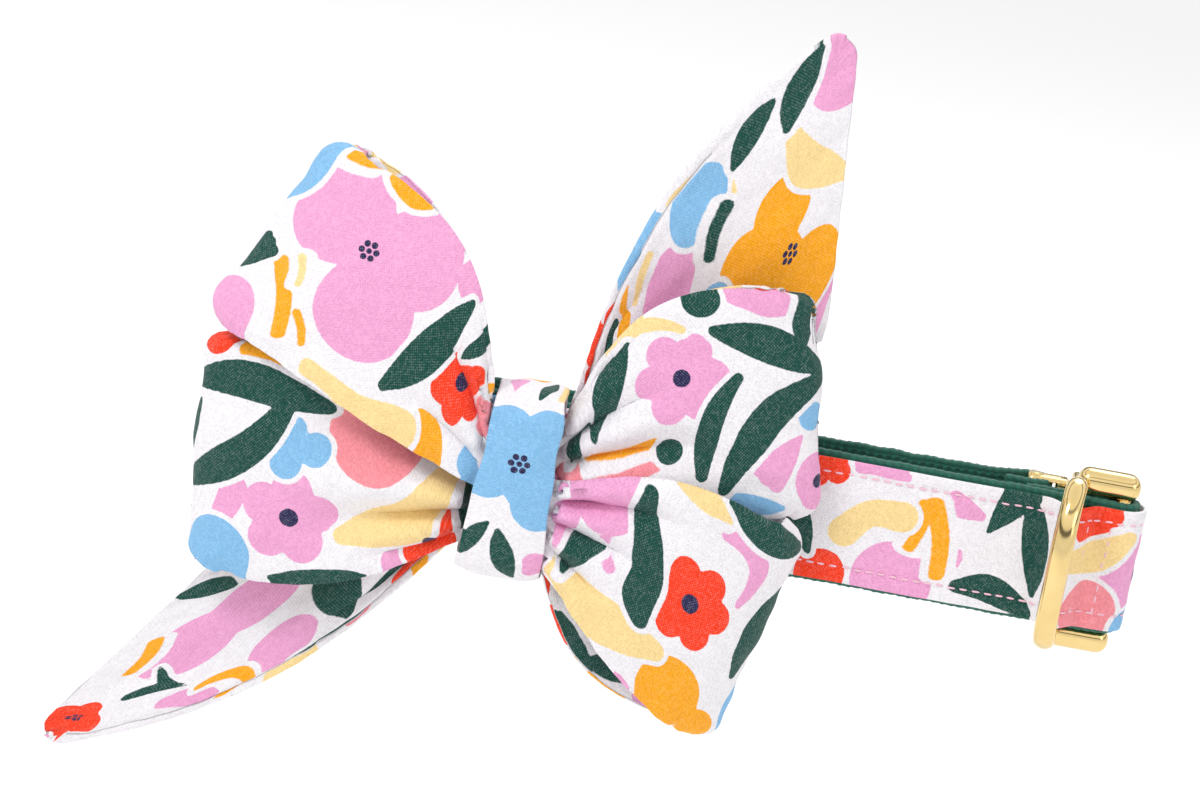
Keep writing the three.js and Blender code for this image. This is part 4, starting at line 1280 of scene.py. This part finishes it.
def printed(s, b, chart, beyond):
    """Ink distances and rosettes over a grid, with the scattered print where beyond is negative."""
    ink = filler_distances(s, b)
    if chart:
        motifs = [row for row in chart if row[0] != "rosette"]
        charted = chart_distances(s, b, motifs)
        beyond = np.clip(beyond, -9, 9)
        ink = {c: np.minimum(charted[c], np.maximum(ink[c], beyond)) for c in PRINT_COLOURS}
    ink = with_margins(ink)
    rosettes = nearest_rosette(s, b, [row for row in chart or [] if row[0] == "rosette"])
    return ink, rosettes


def store_print(piece, cloth, face, back, place_face, place_back, seam):
    for colour in PRINT_COLOURS:
        store_numbers(piece, "ink_" + colour, cloth.spread(face[0][colour], back[0][colour]))
    store_vectors(piece, "rosette", cloth.spread(face[1], back[1]))
    # The seam numbers are distances that the cotton finish turns into a painted shadow line along a rolled
    # edge.
    store_numbers(piece, "seam", cloth.spread(seam, 0 * seam + 9))
    store_vectors(piece, "cloth", cloth.spread(place_face, place_back))


def cloth_place(s, b, layer):
    return np.stack([s, b, 0 * s + layer], -1)


# Where charts end: across the inside of a loop, past its fold, and along a run; then how far the
# scattered print is moved for a rolled edge and for a band's back.
INSIDE_CHARTED = -4
PAST_FOLD = 6
WHOLE_RUN = 400
STRAP_CHARTED = 160
ROLLED_SHIFT = 30
BACK_SHIFT = 40


def print_runs(piece, cloth, runs, shift, rolls=None, insides=None):
    """runs: (along, across, chart, bare_until) in order; the hidden side takes the scatter.

    rolls are distances past the seam where the back panel's edge is rolled to the front, negative
    beyond it. insides are charts for the hidden side of each run.
    """
    faces, backs, front_places, back_places = [], [], [], []
    for k, (along, across, chart, bare_until) in enumerate(runs):
        ink, rosettes = printed(along, across, chart, bare_until - along)
        if rolls:
            turned, _ = printed(along + ROLLED_SHIFT, across, None, 0)
            ink = {c: np.where(rolls[k] < 0, turned[c], ink[c]) for c in PRINT_COLOURS}
        faces.append((ink, rosettes))
        inside = insides[k] if insides else None
        if inside:
            backs.append(printed(along, across, inside, INSIDE_CHARTED - across))
        else:
            backs.append(printed(along + shift, 7 - across, None, 0))
        front_places.append(cloth_place(along, across, shift))
        back_places.append(cloth_place(along, across, shift + BACK_SHIFT))

    def gathered_up(parts, colour):
        return np.concatenate([part[0][colour] for part in parts], 0)

    face = ({c: gathered_up(faces, c) for c in PRINT_COLOURS}, np.concatenate([f[1] for f in faces], 0))
    back = ({c: gathered_up(backs, c) for c in PRINT_COLOURS}, np.concatenate([f[1] for f in backs], 0))
    seams = rolls or [np.full(run[0].shape, 9.0) for run in runs]
    store_print(piece, cloth, face, back, np.concatenate(front_places, 0), np.concatenate(back_places, 0),
                np.concatenate(seams, 0))


def make_loops(name, left, right, shift):
    first, second = half_loop(left), half_loop(right)
    strip = joined_strip(first, second)
    strip.points = wrinkled(strip, True, shift)
    cloth = Cloth(strip.points, strip.outward, wall_half(strip), True)
    piece = cloth.build(name)
    runs = []
    for run, key in ((first, left), (second.backwards(), right)):
        runs.append((run.along, run.across, CHARTS[key], run.along.max() * 0.5 + PAST_FOLD))
    insides = [CHARTS.get(left + "_inside"), CHARTS.get(right + "_inside")]
    print_runs(piece, cloth, runs, shift, insides=insides)
    return dress(piece, COTTON)


def make_tails():
    first, second = tail_run("left"), tail_run("right")
    strip = joined_strip(first.backwards(), second.backwards())
    strip.points = wrinkled(strip, False, 71, 0.8)
    cloth = Cloth(strip.points, strip.outward, wall_half(strip, 0.35), False)
    piece = cloth.build("bow_tails_cotton")
    runs = [(first.along[::-1], first.across[::-1], CHARTS["tail_left"], WHOLE_RUN),
            (second.along, second.across, CHARTS["tail_right"], WHOLE_RUN)]
    rolls = []
    for run, edge, roll_to in ((first, -1, 0.93), (second, 1, 0.6)):
        inside = run.width / 2 - edge * run.across - SEAM_ROLL
        rolls.append(np.where(run.along < roll_to * run.along.max(), inside, 9.0))
    rolls[0] = rolls[0][::-1]
    print_runs(piece, cloth, runs, 71, rolls)
    return dress(piece, COTTON)


def make_knot():
    strip = knot_run()
    cloth = Cloth(strip.points, strip.outward, wall_half(strip), True)
    piece = cloth.build("bow_knot_cotton")
    print_runs(piece, cloth, [(strip.along, strip.across, CHARTS["knot"], WHOLE_RUN)], 13)
    return dress(piece, COTTON)


def make_cover():
    strip = strap_run(cover_path(), COVER_HIGH[2] - COVER_LOW[2], 40)
    rows = (strip.across.max() - STITCH_TOP, strip.across.min() + STITCH_FOOT)
    lift = 0.12 * broad_waves(strip.along, strip.across) + 0.07 * small_waves(strip.along, strip.across)
    lift = lift - stitch_groove(strip, rows)
    strip.points = strip.points + strip.outward * lift[..., None]
    half = COVER_THICK / 2 - 0.12 * bell(edge_distance(strip), 0.5)
    cloth = Cloth(strip.points, strip.outward, half, False)
    piece = cloth.build("collar_cover_cotton")
    print_runs(piece, cloth, [(strip.along, strip.across, CHARTS["strap"], STRAP_CHARTED)], 29)
    return strip, dress(piece, COTTON)


def make_webbing():
    strip = strap_run(webbing_path(), WEB_HIGH[2] - WEB_LOW[2], 30)
    rib = 0.09 * np.cos(2 * math.pi * strip.along / 1.7) * (0.4 + 0.6 * bell(edge_distance(strip), 2.0))
    strip.points[..., 2] += 0.12 * small_waves(strip.along, 0 * strip.along) * np.sign(strip.across)
    half = WEB_THICK / 2 - 0.1 + rib
    cloth = Cloth(strip.points, strip.outward, half, False)
    piece = cloth.build("collar_webbing_tape")
    place = cloth_place(strip.along, strip.across, 0)
    store_vectors(piece, "cloth", cloth.spread(place, place + [0, 0, 20]))
    return strip, dress(piece, GREEN_WEBBING)


def make_keeper():
    """An elastic loop that ties the knot's back to the strap."""
    low, high = KEEPER_LOW, KEEPER_HIGH
    half_y, half_z = (high[1] - low[1]) / 2 - 0.5, (high[2] - low[2]) / 2 - 0.5
    centre_y = (high[1] + low[1]) / 2
    round_corner = 1.2
    path = []
    for centre, start in (((half_y, half_z), 0), ((-half_y, half_z), 90), ((-half_y, -half_z), 180),
                          ((half_y, -half_z), 270)):
        turns = np.radians(np.linspace(start, start + 90, 7))
        corner = np.array(centre) - np.sign(centre) * round_corner
        path.append(corner + round_corner * np.stack([np.cos(turns), np.sin(turns)], 1))
    path = np.concatenate(path)
    loop = resample(np.concatenate([path, path[:1]]), 0.6)[:-1]
    tangent = unit(np.roll(loop, -1, 0) - np.roll(loop, 1, 0))
    out = np.stack([tangent[:, 1], -tangent[:, 0]], 1)
    across = np.linspace(-0.5, 0.5, 21) * (high[0] - low[0])
    length = np.concatenate([[0], np.cumsum(np.linalg.norm(np.diff(loop, axis=0), axis=1))])
    points = np.zeros((len(loop), 21, 3))
    points[..., 0] = (low[0] + high[0]) / 2 + across[None, :]
    points[..., 1] = centre_y + loop[:, None, 0]
    points[..., 2] = loop[:, None, 1]
    outward = np.zeros((len(loop), 1, 3))
    outward[:, 0, 1:] = out
    cloth = Cloth(points, outward, 0.45, True)
    piece = cloth.build("bow_keeper_elastic")
    place = cloth_place(length[:, None] + 0 * across, 0 * length[:, None] + across, 3)
    store_vectors(piece, "cloth", cloth.spread(place, place))
    return dress(piece, WHITE_ELASTIC)


# ---------------------------------------------------------------- assembly
front_loops = make_loops("bow_front_loops_cotton", "front_left", "front_right", 0.0)
back_loops = make_loops("bow_back_loops_cotton", "back_left", "back_right", 33.0)
tails = make_tails()
knot = make_knot()
cover_strip, cover = make_cover()
webbing_strip, webbing = make_webbing()
keeper = make_keeper()
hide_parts("bow_front_loops")
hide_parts("bow_back_loops")
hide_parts("bow_tails")
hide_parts("bow_knot")
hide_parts("collar_cover")
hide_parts("collar_webbing")
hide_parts("bow_keeper")

rows = [(cover_strip.across.max() - STITCH_TOP, STITCHED_FROM, STITCHED_TO),
        (cover_strip.across.min() + STITCH_FOOT, STITCHED_FROM, STITCHED_TO)]
stitches = stitch_mesh("cover_stitches", strap_dashes(cover_strip, rows) + cross_dashes())
dress(stitches, PINK_THREAD)

socket = dress(joined("buckle_socket_gold", socket_parts()), GOLD)
plug = dress(joined("buckle_plug_gold", plug_parts()), GOLD)
ring = dress(ring_mesh(), GOLD, "ring")
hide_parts("buckle_socket")
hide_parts("buckle_plug")
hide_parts("d_ring")


# ---------------------------------------------------------------- floor, light and camera
FLOOR_Z = -0.13
FLOOR_REACH = 6.0
# Height from 0 at the floor's side to 1 overhead, and how bright the surround is there.
SURROUND_BANDS = ((0.14, 1.0), (0.17, 0.12), (0.27, 0.12), (0.31, 1.05),
                  (0.62, 1.2), (0.66, 0.4), (0.72, 0.4), (0.76, 1.2))
SURROUND_STRENGTH = 0.97


def area_light(name, place, aim, size, power):
    data = bpy.data.lights.new(name, "AREA")
    data.shape = "DISK"
    data.size = size
    data.energy = power
    lamp = bpy.data.objects.new(name, data)
    lamp.location = place
    lamp.rotation_euler = (Vector(aim) - Vector(place)).to_track_quat("-Z", "Y").to_euler()
    bpy.context.scene.collection.objects.link(lamp)


def pale_floor():
    mesh = bpy.data.meshes.new("floor")
    corners = [(x * FLOOR_REACH, y * FLOOR_REACH, FLOOR_Z) for x, y in ((-1, -1), (1, -1), (1, 1), (-1, 1))]
    mesh.from_pydata(corners, [], [[0, 1, 2, 3]])
    floor = bpy.data.objects.new("floor", mesh)
    bpy.context.scene.collection.objects.link(floor)
    finish = Finish("pale floor")
    finish.set(base_color=paint(250, 250, 250), roughness=0.9)
    floor.data.materials.append(finish.material)


def white_surround():
    world = bpy.data.worlds.new("studio")
    bpy.context.scene.world = world
    world.use_nodes = True
    tree = world.node_tree
    background = tree.nodes["Background"]
    direction = tree.nodes.new("ShaderNodeTexCoord")
    bands = tree.nodes.new("ShaderNodeSeparateXYZ")
    ramp = tree.nodes.new("ShaderNodeValToRGB")
    tree.links.new(direction.outputs["Generated"], bands.inputs[0])
    tree.links.new(bands.outputs[2], ramp.inputs[0])
    ramp.color_ramp.elements[0].position = 0.0
    ramp.color_ramp.elements[0].color = (1, 1, 1, 1)
    ramp.color_ramp.elements[1].position = 1.0
    ramp.color_ramp.elements[1].color = (1, 1, 1, 1)
    for height, tone in SURROUND_BANDS:
        stop = ramp.color_ramp.elements.new(height)
        stop.color = (tone, tone, tone, 1)
    tree.links.new(ramp.outputs[0], background.inputs[0])
    background.inputs[1].default_value = SURROUND_STRENGTH
    bpy.context.scene.view_settings.view_transform = "Standard"


pale_floor()
white_surround()
area_light("key", (-0.5, -0.55, 0.8), (0, 0, 0), 0.3, 4.2)
area_light("fill", (0.8, -0.6, 0.35), (0, 0, 0), 0.5, 0.8)
area_light("rim", (0.2, 0.7, 0.6), (0, 0, 0), 0.5, 1.6)

ELEVATION = math.radians(16)
ROLL = math.radians(10.4)
VIEW_WIDTH = 0.2308
AIM_RIGHT = 0.0132
AIM_UP = 0.0185
right = Vector((1, 0, 0))
up = Vector((0, math.sin(ELEVATION), math.cos(ELEVATION)))
forward = Vector((0, math.cos(ELEVATION), -math.sin(ELEVATION)))
knot_middle = Vector(((KNOT_LOW + KNOT_HIGH) / 2 * MM).tolist())
target = knot_middle + right * AIM_RIGHT + up * AIM_UP

camera_data = bpy.data.cameras.new("camera")
camera_data.lens = 135
camera_data.sensor_width = 36
camera_data.clip_end = 20
camera = bpy.data.objects.new("camera", camera_data)
bpy.context.scene.collection.objects.link(camera)
rolled_right = right * math.cos(ROLL) + up * math.sin(ROLL)
rolled_up = up * math.cos(ROLL) - right * math.sin(ROLL)
stand = target - forward * (VIEW_WIDTH * camera_data.lens / camera_data.sensor_width)
turned = Matrix((rolled_right, rolled_up, -forward)).transposed().to_4x4()
turned.translation = stand
camera.matrix_world = turned
bpy.context.scene.camera = camera
